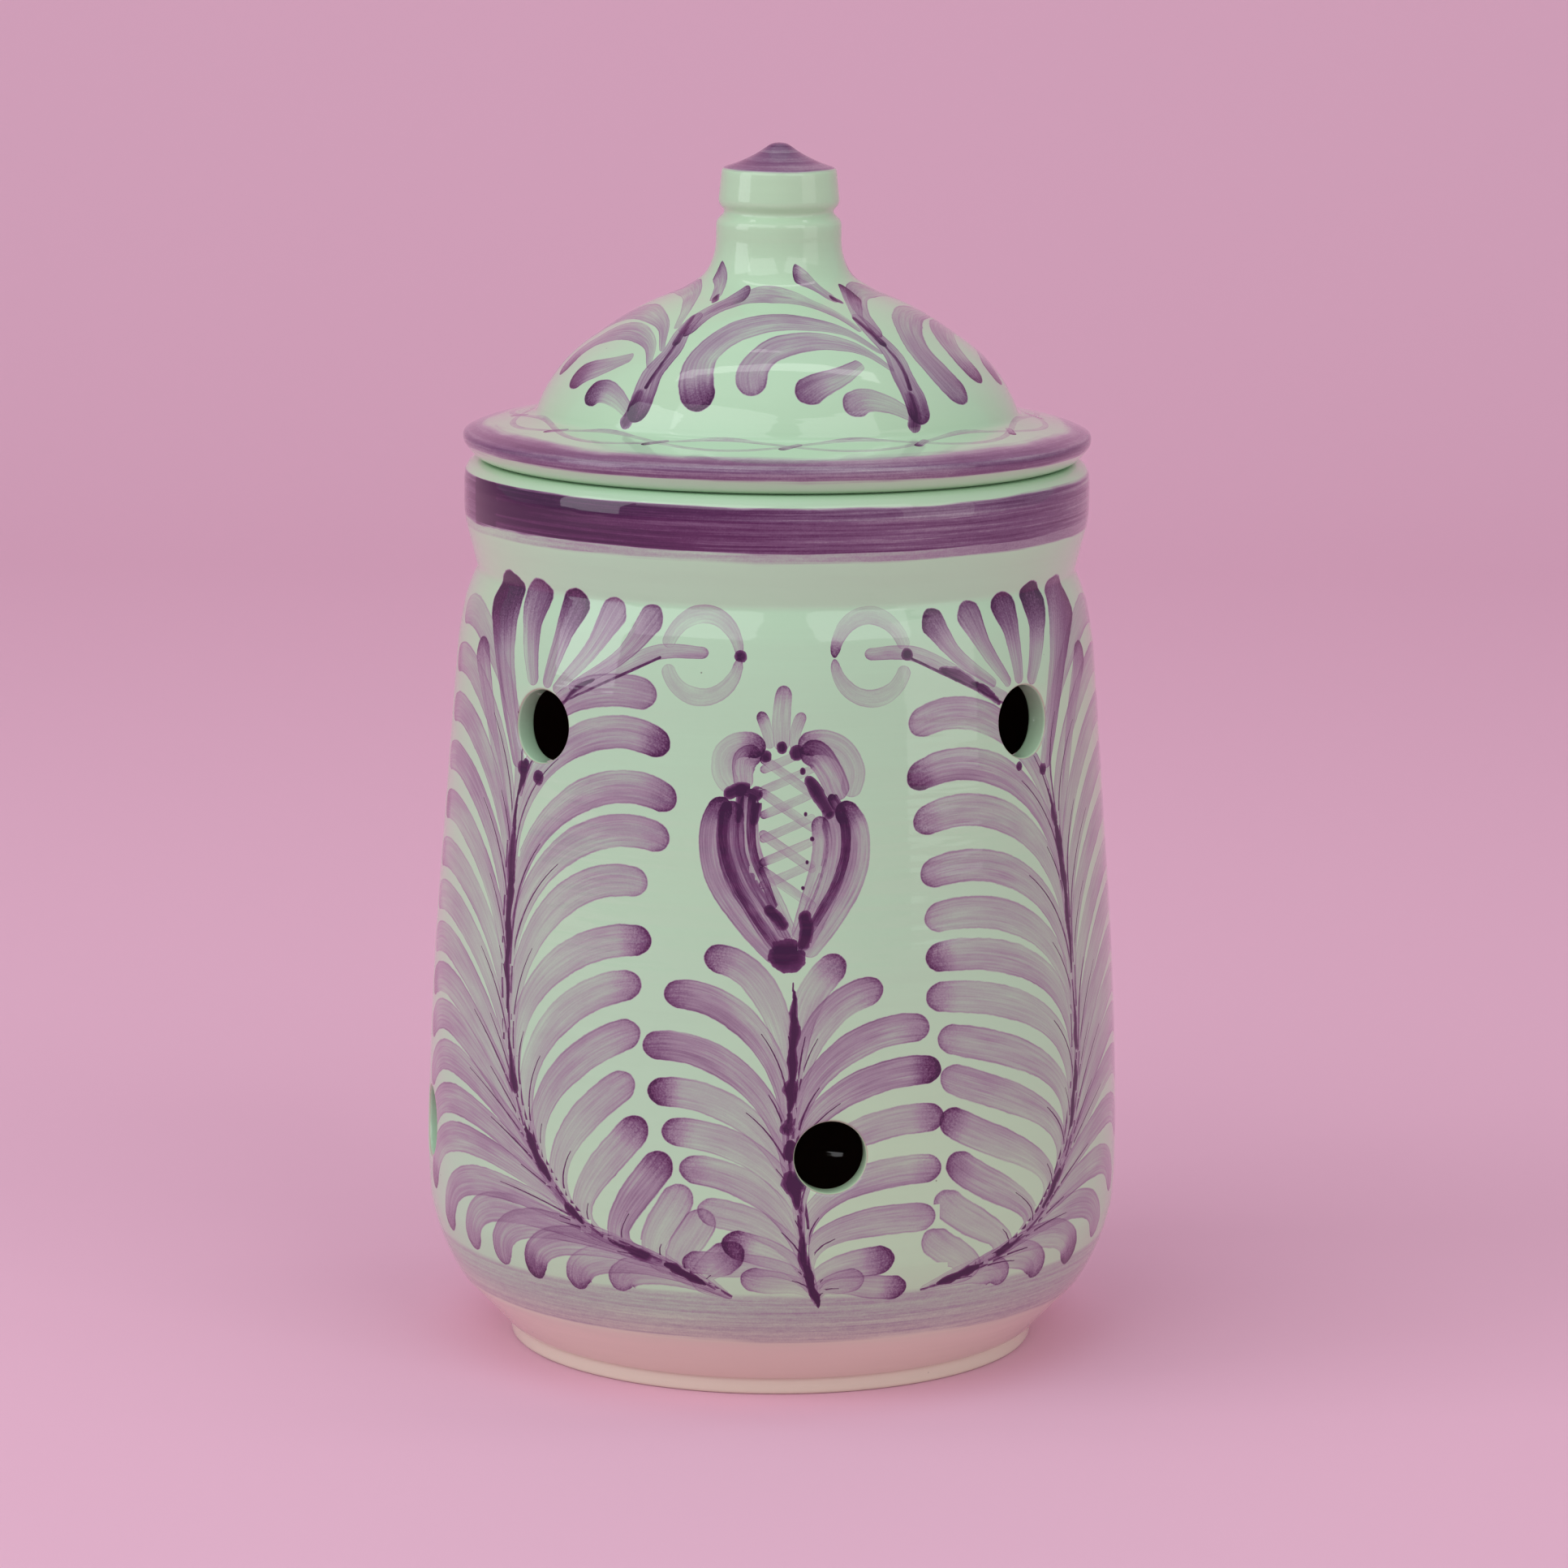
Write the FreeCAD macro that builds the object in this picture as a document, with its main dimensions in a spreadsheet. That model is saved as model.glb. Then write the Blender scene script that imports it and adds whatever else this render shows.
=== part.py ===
import FreeCAD, Part
import Sketcher
import math
import os

from FreeCAD import Placement, Rotation, Vector

# A thrown pottery garlic keeper: a pierced jar and the domed lid that drops into its mouth.
# Millimetres. The foot stands on Z = 0, the axis is Z, and the side that faces the viewer is -Y.

SIZES = [
    # Jar, outside. An inset is how far a turn of the wall stands in from the belly
    ("belly_radius", 70.6),
    ("belly_height", 36.5),
    ("foot_inset", 17.1),
    ("foot_width", 7.5),
    ("foot_height", 3.6),
    ("foot_step", 0.9),
    ("base_inset", 6.7),
    ("base_height", 13.6),
    ("waist_inset", 0.6),
    ("waist_rise", 25.5),
    ("side_inset", 1.7),
    ("side_rise", 22.0),
    ("shoulder_inset", 6.35),
    ("shoulder_arc", 40.0),
    ("neck_inset", 10.3),
    ("collar_inset", 7.6),
    ("rim_height", 180.5),
    ("rim_rounding", 4.2),
    # Jar, from the rim down
    ("collar_drop", 11.5),
    ("neck_drop", 22.1),
    ("shoulder_drop", 36.5),
    # Jar, inside
    ("jar_wall", 4.7),
    ("jar_floor", 5.0),
    ("inner_base_rise", 8.4),
    ("inner_foot_step", 2.0),
    ("rim_wall", 9.0),
    # Vents: each of the four values places a pair, one each side of the axis
    ("vent_radius", 7.1),
    ("upper_left_angle", -44.6),
    ("upper_left_drop", 47.7),
    ("upper_right_angle", 48.9),
    ("upper_right_drop", 46.6),
    ("lower_front_angle", 9.5),
    ("lower_front_height", 52.1),
    ("lower_side_angle", -80.5),
    ("lower_side_height", 45.6),
    # Lid, from its seat on the rim up, each rise from the turn below it
    ("flange_overhang", 0.2),
    ("flange_edge", 3.4),
    ("flange_height", 6.4),
    ("flange_ledge", 14.5),
    ("dome_foot_rise", 2.6),
    ("dome_inset", 12.3),
    ("dome_rise", 15.5),
    ("dome_arc", 29.0),
    ("crown_step", 5.2),
    ("crown_rise", 9.0),
    ("crown_arc", 60.0),
    ("stalk_radius", 12.6),
    ("flare_step", 2.0),
    ("flare_rise", 3.1),
    ("stalk_foot_rise", 4.9),
    ("stalk_length", 6.1),
    ("groove_step", 1.9),
    ("groove_rise", 1.8),
    ("knob_step", 1.5),
    ("knob_foot_rise", 1.8),
    ("knob_taper", 0.8),
    ("knob_length", 7.0),
    ("tip_radius", 2.2),
    ("cap_rise", 3.7),
    ("tip_rise", 1.2),
    # Lid, underside
    ("lid_wall", 5.2),
    ("lid_clearance", 1.2),
    ("ring_depth", 9.0),
    ("ring_wall", 4.6),
    ("edge_bevel", 0.9),
]

# Sizes that follow from the ones above
FITS = [
    ("foot_radius", "=belly_radius - foot_inset"),
    ("base_radius", "=belly_radius - base_inset"),
    ("waist_radius", "=belly_radius - waist_inset"),
    ("side_radius", "=belly_radius - side_inset"),
    ("shoulder_radius", "=belly_radius - shoulder_inset"),
    ("neck_radius", "=belly_radius - neck_inset"),
    ("collar_radius", "=belly_radius - collar_inset"),
    ("mouth_radius", "=collar_radius - rim_wall"),
    ("waist_height", "=belly_height + waist_rise"),
    ("side_height", "=waist_height + side_rise"),
    ("shoulder_height", "=rim_height - shoulder_drop"),
    ("neck_height", "=rim_height - neck_drop"),
    ("collar_foot_height", "=rim_height - collar_drop"),
    ("upper_left_height", "=rim_height - upper_left_drop"),
    ("upper_right_height", "=rim_height - upper_right_drop"),
    ("belly_lower_arc", "=((belly_radius - base_radius)^2 + (belly_height - base_height)^2)"
                        " / (2 * (belly_radius - base_radius))"),
    ("floor_top", "=foot_height + jar_floor"),
    ("inner_base_height", "=floor_top + inner_base_rise"),
    ("inner_foot_radius", "=foot_radius - foot_width + inner_foot_step"),
    ("inner_belly_radius", "=belly_radius - jar_wall"),
    ("inner_base_radius", "=base_radius - jar_wall"),
    ("inner_side_radius", "=side_radius - jar_wall"),
    ("inner_shoulder_radius", "=shoulder_radius - jar_wall"),
    # How far the middle of a rounding of radius 1 stays inside its square corner
    ("corner_share", "=1 - cos(45)"),
    ("rim_corner", "=rim_rounding * corner_share"),
    ("under_corner", "=flange_edge * corner_share"),
    ("flange_rounding", "=flange_height - flange_edge"),
    ("flange_corner", "=flange_rounding * corner_share"),
    ("flange_radius", "=collar_radius + flange_overhang"),
    ("dome_radius", "=flange_radius - flange_ledge"),
    ("dome_foot", "=flange_height + dome_foot_rise"),
    ("dome_shoulder_radius", "=dome_radius - dome_inset"),
    ("dome_shoulder", "=dome_foot + dome_rise"),
    ("flare_radius", "=stalk_radius + flare_step"),
    ("crown_radius", "=flare_radius + crown_step"),
    ("crown", "=dome_shoulder + crown_rise"),
    ("flare", "=crown + flare_rise"),
    ("stalk_foot", "=flare + stalk_foot_rise"),
    ("stalk_top", "=stalk_foot + stalk_length"),
    ("groove_radius", "=stalk_radius - groove_step"),
    ("groove", "=stalk_top + groove_rise"),
    ("knob_radius", "=groove_radius + knob_step"),
    ("knob_foot", "=groove + knob_foot_rise"),
    ("knob_top_radius", "=knob_radius - knob_taper"),
    ("knob_top", "=knob_foot + knob_length"),
    ("tip_foot", "=knob_top + cap_rise"),
    ("tip", "=tip_foot + tip_rise"),
    ("ring_radius", "=mouth_radius - lid_clearance"),
    ("ring_inner_radius", "=ring_radius - ring_wall"),
    ("hollow_shoulder_radius", "=dome_shoulder_radius - lid_wall * 0.7"),
    ("hollow_shoulder", "=dome_shoulder - lid_wall * 0.8"),
    ("hollow_crown", "=crown - lid_wall"),
]


def make_sheet(doc):
    """Put every size in the spreadsheet under its own name."""
    sheet = doc.addObject("Spreadsheet::Sheet", "Sizes")
    for row, (name, value) in enumerate(SIZES + FITS, start=1):
        sheet.set(f"A{row}", name)
        sheet.set(f"B{row}", str(value))
        sheet.setAlias(f"B{row}", name)
    doc.recompute()
    return sheet


def bind(name):
    """Turn a formula in size names into one that points at the sheet."""
    words = name.replace("(", " ( ").replace(")", " ) ").split()
    return " ".join("Sizes." + word if word[0].isalpha() else word for word in words)


def origin_part(body, role):
    return next(part for part in body.Origin.OriginFeatures if part.Role == role)


def arc_centre(start, end, radius, side):
    """Centre of the arc from start to end; side 1 puts it left of the way travelled."""
    chord = end - start
    reach = math.sqrt(max(radius ** 2 - (chord.Length / 2) ** 2, 0))
    left = Vector(-chord.y, chord.x, 0).normalize()
    return start + chord / 2 + left * reach * side


def add_profile(body, sheet, name, steps):
    """Sketch a closed half section. A step is (radius, height) or, when the edge that
    leaves it is an arc, (radius, height, arc radius, side)."""
    sketch = body.newObject("Sketcher::SketchObject", name)
    sketch.AttachmentSupport = [(origin_part(body, "XZ_Plane"), "")]
    sketch.MapMode = "FlatFace"
    corners = [Vector(float(sheet.evalExpression(bind(step[0]))),
                      float(sheet.evalExpression(bind(step[1]))), 0) for step in steps]
    for index, step in enumerate(steps):
        start, end = corners[index], corners[(index + 1) % len(steps)]
        if len(step) == 2:
            sketch.addGeometry(Part.LineSegment(start, end), False)
            continue
        radius = float(sheet.evalExpression(bind(step[2])))
        centre = arc_centre(start, end, radius, step[3])
        # A sketch arc always runs anticlockwise
        first, last = (start, end) if step[3] > 0 else (end, start)
        angles = [math.atan2(p.y - centre.y, p.x - centre.x) for p in (first, last)]
        circle = Part.Circle(centre, Vector(0, 0, 1), radius)
        sketch.addGeometry(Part.ArcOfCircle(circle, angles[0], angles[1]), False)
    for index, step in enumerate(steps):
        following = (index + 1) % len(steps)
        clockwise = len(step) == 4 and step[3] < 0
        next_clockwise = len(steps[following]) == 4 and steps[following][3] < 0
        end_point = 1 if clockwise else 2
        start_point = 2 if clockwise else 1
        next_start = 2 if next_clockwise else 1
        add_constraint(sketch, "Coincident", (index, end_point, following, next_start))
        place_point(sketch, index, start_point, f"corner{index}", step, corners[index])
        if len(step) == 4:
            add_constraint(sketch, "Radius", (index, float(sheet.evalExpression(bind(step[2])))),
                           f"arc{index}", step[2])
    return sketch


def add_constraint(sketch, kind, values, name=None, formula=None):
    number = sketch.addConstraint(Sketcher.Constraint(kind, *values))
    if name:
        sketch.renameConstraint(number, name)
        sketch.setExpression("Constraints." + name, bind(formula))


def place_point(sketch, edge, point, name, step, corner):
    """Hold a corner at its radius from the axis and its height from the foot."""
    if step[0] == "0":
        add_constraint(sketch, "PointOnObject", (edge, point, -2))
    else:
        add_constraint(sketch, "DistanceX", (-1, 1, edge, point, corner.x), name + "_r", step[0])
    if step[1] == "0":
        add_constraint(sketch, "PointOnObject", (edge, point, -1))
    else:
        add_constraint(sketch, "DistanceY", (-1, 1, edge, point, corner.y), name + "_z", step[1])


def revolve(body, sketch, name):
    feature = body.newObject("PartDesign::Revolution", name)
    feature.Profile = sketch
    feature.ReferenceAxis = (sketch, ["V_Axis"])
    feature.Angle = 360
    sketch.Visibility = False
    body.Document.recompute()
    return feature


def ring_edges(sheet, shape, rings):
    """Names of the circular edges round the axis at the given radii and heights."""
    names = []
    for radius_name, height_name in rings:
        radius = float(sheet.evalExpression(bind(radius_name)))
        height = float(sheet.evalExpression(bind(height_name))) if height_name != "0" else 0.0
        for number, edge in enumerate(shape.Edges, start=1):
            box = edge.BoundBox
            level = abs(box.ZMin - height) < 0.01 and abs(box.ZMax - height) < 0.01
            if level and abs(box.XMax - radius) < 0.01:
                names.append(f"Edge{number}")
    return names


def add_bevel(body, base, name, edges, size):
    if not edges:
        raise ValueError(name + " finds no edge to bevel")
    bevel = body.newObject("PartDesign::Chamfer", name)
    bevel.Base = (base, edges)
    bevel.setExpression("Size", "Sizes." + size)
    body.Document.recompute()
    return bevel


def add_vents(body, sheet, name, angle, height):
    """Cut two round vents, one each side of the axis, at the given angle from the front."""
    before = body.Tip.Shape.Volume
    radius, level = float(sheet.get("vent_radius")), float(sheet.get(height))
    sketch = body.newObject("Sketcher::SketchObject", name + "_circle")
    sketch.AttachmentSupport = [(origin_part(body, "XZ_Plane"), "")]
    sketch.MapMode = "FlatFace"
    # A turn above 0 fixes which way round the axis points, and the sheet gives the angle
    sketch.AttachmentOffset = Placement(Vector(0, 0, 0), Rotation(Vector(0, 1, 0), 1))
    sketch.setExpression("AttachmentOffset.Rotation.Angle", f"Sizes.{angle} * 1 deg")
    sketch.addGeometry(Part.Circle(Vector(0, level, 0), Vector(0, 0, 1), radius), False)
    add_constraint(sketch, "Radius", (0, radius), "vent", "vent_radius")
    add_constraint(sketch, "PointOnObject", (0, 3, -2))
    add_constraint(sketch, "DistanceY", (-1, 1, 0, 3, level), "height", height)
    sketch.Visibility = False
    vent = body.newObject("PartDesign::Pocket", name)
    vent.Profile = sketch
    vent.Reversed = True
    vent.setExpression("Length", "Sizes.belly_radius + Sizes.jar_wall")
    body.Document.recompute()
    pattern = body.newObject("PartDesign::PolarPattern", name + "_pair")
    pattern.Originals = [vent]
    pattern.Axis = (origin_part(body, "Z_Axis"), [""])
    pattern.Angle = 360
    pattern.Occurrences = 2
    body.Tip = pattern
    body.Document.recompute()
    through = math.pi * radius ** 2 * float(sheet.get("jar_wall"))
    if pattern.Shape.Volume > before - through:
        raise ValueError(name + " cuts nothing")
    return pattern


def make_jar(doc, sheet):
    """The pierced jar: foot ring, bellied wall, neck groove and banded collar."""
    body = doc.addObject("PartDesign::Body", "jar")
    body.Label = "jar"
    section = add_profile(body, sheet, "jar_section", [
        ("foot_radius - foot_width", "0"),
        ("foot_radius", "0"),
        ("foot_radius", "foot_height"),
        ("foot_radius + foot_step", "foot_height"),
        ("base_radius", "base_height", "belly_lower_arc", 1),
        ("belly_radius", "belly_height"),
        ("waist_radius", "waist_height"),
        ("side_radius", "side_height"),
        ("shoulder_radius", "shoulder_height", "shoulder_arc", 1),
        ("neck_radius", "neck_height"),
        ("collar_radius", "collar_foot_height"),
        ("collar_radius", "rim_height - rim_rounding"),
        ("collar_radius - rim_corner", "rim_height - rim_corner"),
        ("collar_radius - rim_rounding", "rim_height"),
        ("mouth_radius", "rim_height"),
        ("mouth_radius", "neck_height"),
        ("inner_shoulder_radius", "shoulder_height"),
        ("inner_side_radius", "side_height"),
        ("inner_belly_radius", "belly_height"),
        ("inner_base_radius", "inner_base_height"),
        ("inner_foot_radius", "floor_top"),
        ("0", "floor_top"),
        ("0", "foot_height"),
        ("foot_radius - foot_width", "foot_height"),
    ])
    wall = revolve(body, section, "jar_wall_turned")
    rims = ring_edges(sheet, wall.Shape, [("foot_radius", "0"),
                                          ("foot_radius - foot_width", "0"),
                                          ("mouth_radius", "rim_height")])
    add_bevel(body, wall, "jar_bevels", rims, "edge_bevel")
    add_vents(body, sheet, "upper_left_vents", "upper_left_angle", "upper_left_height")
    add_vents(body, sheet, "upper_right_vents", "upper_right_angle", "upper_right_height")
    add_vents(body, sheet, "lower_front_vents", "lower_front_angle", "lower_front_height")
    add_vents(body, sheet, "lower_side_vents", "lower_side_angle", "lower_side_height")
    return body


def make_lid(doc, sheet):
    """The hollow lid: locating ring, flange, dome, stalk and pointed knob."""
    body = doc.addObject("PartDesign::Body", "lid")
    body.Label = "lid"
    section = add_profile(body, sheet, "lid_section", [
        ("ring_inner_radius", "rim_height - ring_depth"),
        ("ring_radius", "rim_height - ring_depth"),
        ("ring_radius", "rim_height"),
        ("flange_radius - flange_edge", "rim_height"),
        ("flange_radius - under_corner", "rim_height + under_corner"),
        ("flange_radius", "rim_height + flange_edge"),
        ("flange_radius - flange_corner", "rim_height + flange_height - flange_corner"),
        ("flange_radius - flange_rounding", "rim_height + flange_height"),
        ("dome_radius", "rim_height + dome_foot", "dome_arc", 1),
        ("dome_shoulder_radius", "rim_height + dome_shoulder", "crown_arc", 1),
        ("crown_radius", "rim_height + crown"),
        ("flare_radius", "rim_height + flare"),
        ("stalk_radius", "rim_height + stalk_foot"),
        ("stalk_radius", "rim_height + stalk_top"),
        ("groove_radius", "rim_height + groove"),
        ("knob_radius", "rim_height + knob_foot"),
        ("knob_top_radius", "rim_height + knob_top"),
        ("tip_radius", "rim_height + tip_foot"),
        ("0", "rim_height + tip"),
        ("0", "rim_height + hollow_crown"),
        ("crown_radius", "rim_height + hollow_crown"),
        ("hollow_shoulder_radius", "rim_height + hollow_shoulder"),
        ("ring_inner_radius", "rim_height + dome_foot - lid_wall"),
    ])
    shell = revolve(body, section, "lid_turned")
    rims = ring_edges(sheet, shell.Shape, [("ring_inner_radius", "rim_height - ring_depth"),
                                           ("ring_radius", "rim_height - ring_depth"),
                                           ("knob_top_radius", "rim_height + knob_top")])
    add_bevel(body, shell, "lid_bevels", rims, "edge_bevel")
    return body


def check(doc, bodies):
    """Stop before anything is written if a feature failed or a solid is not sound."""
    for item in doc.Objects:
        if "Invalid" in item.State or "Error" in item.State:
            raise RuntimeError(f"{item.Label} did not build: {item.State}")
    for body in bodies:
        shape = body.Shape
        if shape.isNull() or not shape.isValid() or len(shape.Solids) != 1:
            raise RuntimeError(f"{body.Label} is not one sound solid")
        box = shape.BoundBox
        print(f"{body.Label}: {box.XLength:.1f} x {box.YLength:.1f} x {box.ZLength:.1f} mm,"
              f" {shape.Volume / 1000:.0f} cm3")


def main():
    doc = FreeCAD.newDocument("garlic_keeper")
    sheet = make_sheet(doc)
    bodies = [make_jar(doc, sheet), make_lid(doc, sheet)]
    doc.recompute()
    check(doc, bodies)
    os.makedirs("parts", exist_ok=True)
    for body in bodies:
        body.Shape.exportStep(f"parts/{body.Label}.step")


main()
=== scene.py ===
import math

import bpy
import numpy as np
from mathutils import Matrix, Vector


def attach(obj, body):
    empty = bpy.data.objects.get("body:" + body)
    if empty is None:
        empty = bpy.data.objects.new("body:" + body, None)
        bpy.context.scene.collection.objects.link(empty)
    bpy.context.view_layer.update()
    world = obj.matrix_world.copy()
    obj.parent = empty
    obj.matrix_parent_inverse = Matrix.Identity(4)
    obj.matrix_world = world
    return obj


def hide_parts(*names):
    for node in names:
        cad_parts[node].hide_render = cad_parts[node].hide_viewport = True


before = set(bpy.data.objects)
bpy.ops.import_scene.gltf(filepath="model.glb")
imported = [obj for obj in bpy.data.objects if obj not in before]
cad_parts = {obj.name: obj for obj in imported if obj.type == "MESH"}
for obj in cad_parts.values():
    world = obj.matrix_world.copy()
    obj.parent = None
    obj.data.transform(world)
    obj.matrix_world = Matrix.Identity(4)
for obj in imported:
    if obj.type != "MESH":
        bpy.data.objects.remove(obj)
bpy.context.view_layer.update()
print("frame loaded,", len(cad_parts), "nodes")

columns = 360     # faces around each piece
mm = 0.001


# Outlines: half sections in millimetres, each point with its distance from the axis, height and rounding


def arcPoints(start, end, radius, count):
    start, end = np.array(start, float), np.array(end, float)
    chord = end - start
    length = np.hypot(*chord)
    left = np.array([-chord[1], chord[0]]) / length
    centre = (start + end) / 2 + left * math.sqrt(radius ** 2 - length ** 2 / 4)
    first = math.atan2(*(start - centre)[::-1])
    last = math.atan2(*(end - centre)[::-1])
    if last < first - math.pi:
        last += 2 * math.pi
    turns = np.linspace(first, last, count + 1)[1:]
    return [(centre[0] + radius * math.cos(t), centre[1] + radius * math.sin(t), 0) for t in turns]


def soften(corners):
    points = []
    for index, (r, z, rounding) in enumerate(corners):
        here = np.array([r, z], float)
        if rounding == 0 or index in (0, len(corners) - 1):
            points.append(here)
            continue
        before = np.array(corners[index - 1][:2], float) - here
        after = np.array(corners[index + 1][:2], float) - here
        reach = min(rounding, 0.45 * np.hypot(*before), 0.45 * np.hypot(*after))
        first = here + before / np.hypot(*before) * reach
        last = here + after / np.hypot(*after) * reach
        for t in (0, 0.25, 0.5, 0.75, 1):
            points.append(first * (1 - t) ** 2 + here * 2 * t * (1 - t) + last * t ** 2)
    return np.array(points)


def divide(points, spacing):
    rows = [points[0]]
    for start, end in zip(points[:-1], points[1:]):
        parts = max(1, math.ceil(np.hypot(*(end - start)) / spacing - 0.05))
        rows += [start + (end - start) * (part + 1) / parts for part in range(parts)]
    return np.array(rows)


def lengthAlong(points):
    return np.r_[0, np.cumsum(np.hypot(*np.diff(points, axis=0).T))]


def smoothstep(value):
    value = np.clip(value, 0, 1)
    return value * value * (3 - 2 * value)


def addMesh(name, vertices, faces):
    mesh = bpy.data.meshes.new(name)
    mesh.from_pydata(vertices.tolist(), [], faces)
    mesh.validate()
    thing = bpy.data.objects.new(name, mesh)
    bpy.context.collection.objects.link(thing)
    bpy.ops.object.select_all(action="DESELECT")
    bpy.context.view_layer.objects.active = thing
    thing.select_set(True)
    bpy.ops.object.mode_set(mode="EDIT")
    bpy.ops.mesh.select_all(action="SELECT")
    bpy.ops.mesh.normals_make_consistent(inside=False)
    bpy.ops.object.mode_set(mode="OBJECT")
    bpy.ops.object.shade_smooth()
    return thing


# Brush strokes: each is a line on the unrolled wall, in millimetres, with its half width along it

brush = {
    "layers": 8,            # strokes that can lie over each other at one place
    "darkLayers": 3,        # how many of them are kept for dark marks, the very last for dark hair lines
    "darkStrength": 0.6,    # stronger strokes are dark marks
    "hairWidth": 0.5,       # thinner dark marks are hair lines
    "reach": 1.25,          # how far from its line a stroke is written, in half widths
    "overrun": 0.3,         # and how far past its ends
    "lightShare": 0.68,     # a light stroke's strength as written, so that it stays apart from the dark ones
    "strongest": 0.98,
    "seeds": 97,            # after this many strokes the seeds start again
}
noStroke = (9, 0, 1, 0)     # what a corner says where no stroke is near

leafShape = [(0, 0.86), (0.1, 1), (0.34, 1), (0.68, 0.64), (1, 0.16)]
petalShape = [(0, 0.9), (0.15, 1), (0.5, 0.76), (1, 0.4)]
evenShape = [(0, 0.9), (0.2, 1), (0.8, 0.95), (1, 0.8)]
fanShape = [(0, 0.86), (0.08, 1), (0.2, 0.8), (0.42, 0.52), (1, 0.26)]
dashShape = [(0, 0.4), (0.4, 1), (0.8, 0.7), (1, 0.4)]


def bezier(p0, p1, p2, p3, count=26):
    t = np.linspace(0, 1, count)[:, None]
    return (p0 * (1 - t) ** 3 + p1 * 3 * t * (1 - t) ** 2 + p2 * 3 * t ** 2 * (1 - t) + p3 * t ** 3)


def throughPoints(points, count=40):
    points = np.array(points, float)
    along = lengthAlong(points)
    grid = np.linspace(0, along[-1], count)
    slopes = np.gradient(points, along, axis=0)
    index = np.clip(np.searchsorted(along, grid) - 1, 0, len(along) - 2)
    gap = (along[index + 1] - along[index])[:, None]
    t = ((grid - along[index])[:, None]) / gap
    a, b = points[index], points[index + 1]
    m, n = slopes[index] * gap, slopes[index + 1] * gap
    return (a * (2 * t ** 3 - 3 * t ** 2 + 1) + m * (t ** 3 - 2 * t ** 2 + t)
            + b * (3 * t ** 2 - 2 * t ** 3) + n * (t ** 3 - t ** 2))


def direction(degrees):
    return np.array([math.cos(math.radians(degrees)), math.sin(math.radians(degrees))])


def stroke(line, width, strength=0.3, shape=leafShape):
    return {"line": np.array(line, float), "width": width, "strength": strength, "shape": shape,
            "roundEnd": shape[-1][1] > 0.6}


def strokeField(item, points):
    line, width = item["line"], item["width"]
    along = lengthAlong(line)
    start, end = line[:-1], line[1:]
    step = end - start
    size = np.hypot(*step.T)
    offset = points[:, None, :] - start[None]
    t = (offset * step[None]).sum(-1) / size[None] ** 2
    low = np.zeros(len(size))
    high = np.ones(len(size))
    low[0], high[-1] = -99, 99
    t = np.clip(t, low[None], high[None])
    gap = offset - t[..., None] * step[None]
    nearest = (gap ** 2).sum(-1).argmin(1)
    rows = np.arange(len(points))
    side = step[nearest, 0] * offset[rows, nearest, 1] - step[nearest, 1] * offset[rows, nearest, 0]
    distance = np.hypot(*gap[rows, nearest].T) * np.sign(side)
    place = along[nearest] + t[rows, nearest] * size[nearest]
    where, share = zip(*item["shape"])
    half = width * np.interp(place / along[-1], where, share)
    return distance / half, place / width, along[-1] / width


def layersFor(item):
    if item["strength"] <= brush["darkStrength"]:
        return range(brush["layers"] - brush["darkLayers"])
    if item["width"] < brush["hairWidth"]:
        return [brush["layers"] - 1]
    return range(brush["layers"] - brush["darkLayers"], brush["layers"] - 1)


def paint(corners, strokes, period):
    # corners: faces x corners x 2, and period is the way around after which the design repeats
    # gives each corner four numbers per layer: across, along, the stroke's length, and seed plus strength
    faceCount, cornerCount = corners.shape[:2]
    layers = np.tile(np.array(noStroke, np.float32), (brush["layers"], faceCount, cornerCount, 1))
    taken = np.zeros((brush["layers"], faceCount), bool)
    nearness = np.full((brush["layers"], faceCount), 99.0)
    centre = corners.mean(1)
    for number, item in enumerate(strokes):
        margin = item["width"] * 1.5 + 1.2
        low, high = item["line"].min(0) - margin, item["line"].max(0) + margin
        choices = layersFor(item)
        if item["strength"] > brush["darkStrength"]:
            strength = min(item["strength"], brush["strongest"])
        else:
            strength = item["strength"] * brush["lightShare"]
        for shift in (-period, 0, period):
            inside = ((centre[:, 0] + shift > low[0]) & (centre[:, 0] + shift < high[0])
                      & (centre[:, 1] > low[1]) & (centre[:, 1] < high[1]))
            chosen = np.nonzero(inside)[0]
            if not len(chosen):
                continue
            points = corners[chosen].reshape(-1, 2) + (shift, 0)
            across, place, length = strokeField(item, points)
            across, place = across.reshape(-1, cornerCount), place.reshape(-1, cornerCount)
            reach = np.abs(across).min(1)
            reach[(across.min(1) < 0) & (across.max(1) > 0)] = 0
            touched = ((reach < brush["reach"]) & (place.max(1) > -brush["overrun"])
                       & (place.min(1) < length + brush["overrun"]))
            chosen, across, place, reach = (part[touched] for part in (chosen, across, place, reach))
            if not len(chosen):
                continue
            clashes = [np.count_nonzero(taken[layer, chosen]) for layer in choices]
            layer = choices[int(np.argmin(clashes))]
            free = ~taken[layer, chosen] | (reach < nearness[layer, chosen])
            chosen, across, place, reach = (part[free] for part in (chosen, across, place, reach))
            layers[layer, chosen, :, 0] = across
            layers[layer, chosen, :, 1] = place
            layers[layer, chosen, :, 2] = -length if item["roundEnd"] else length
            layers[layer, chosen, :, 3] = number % brush["seeds"] + strength
            taken[layer, chosen] = True
            nearness[layer, chosen] = reach
    return layers


# Shells: both pieces are grids of rows and columns, closed by a fan of faces at each end


def gridQuads(keep):
    # faces of the kept cells, with the row that each starts in
    row, column = np.nonzero(keep)
    after = (column + 1) % columns
    low, high = row * columns, (row + 1) * columns
    return row, np.stack([low + column, low + after, high + after, high + column], -1)


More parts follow.
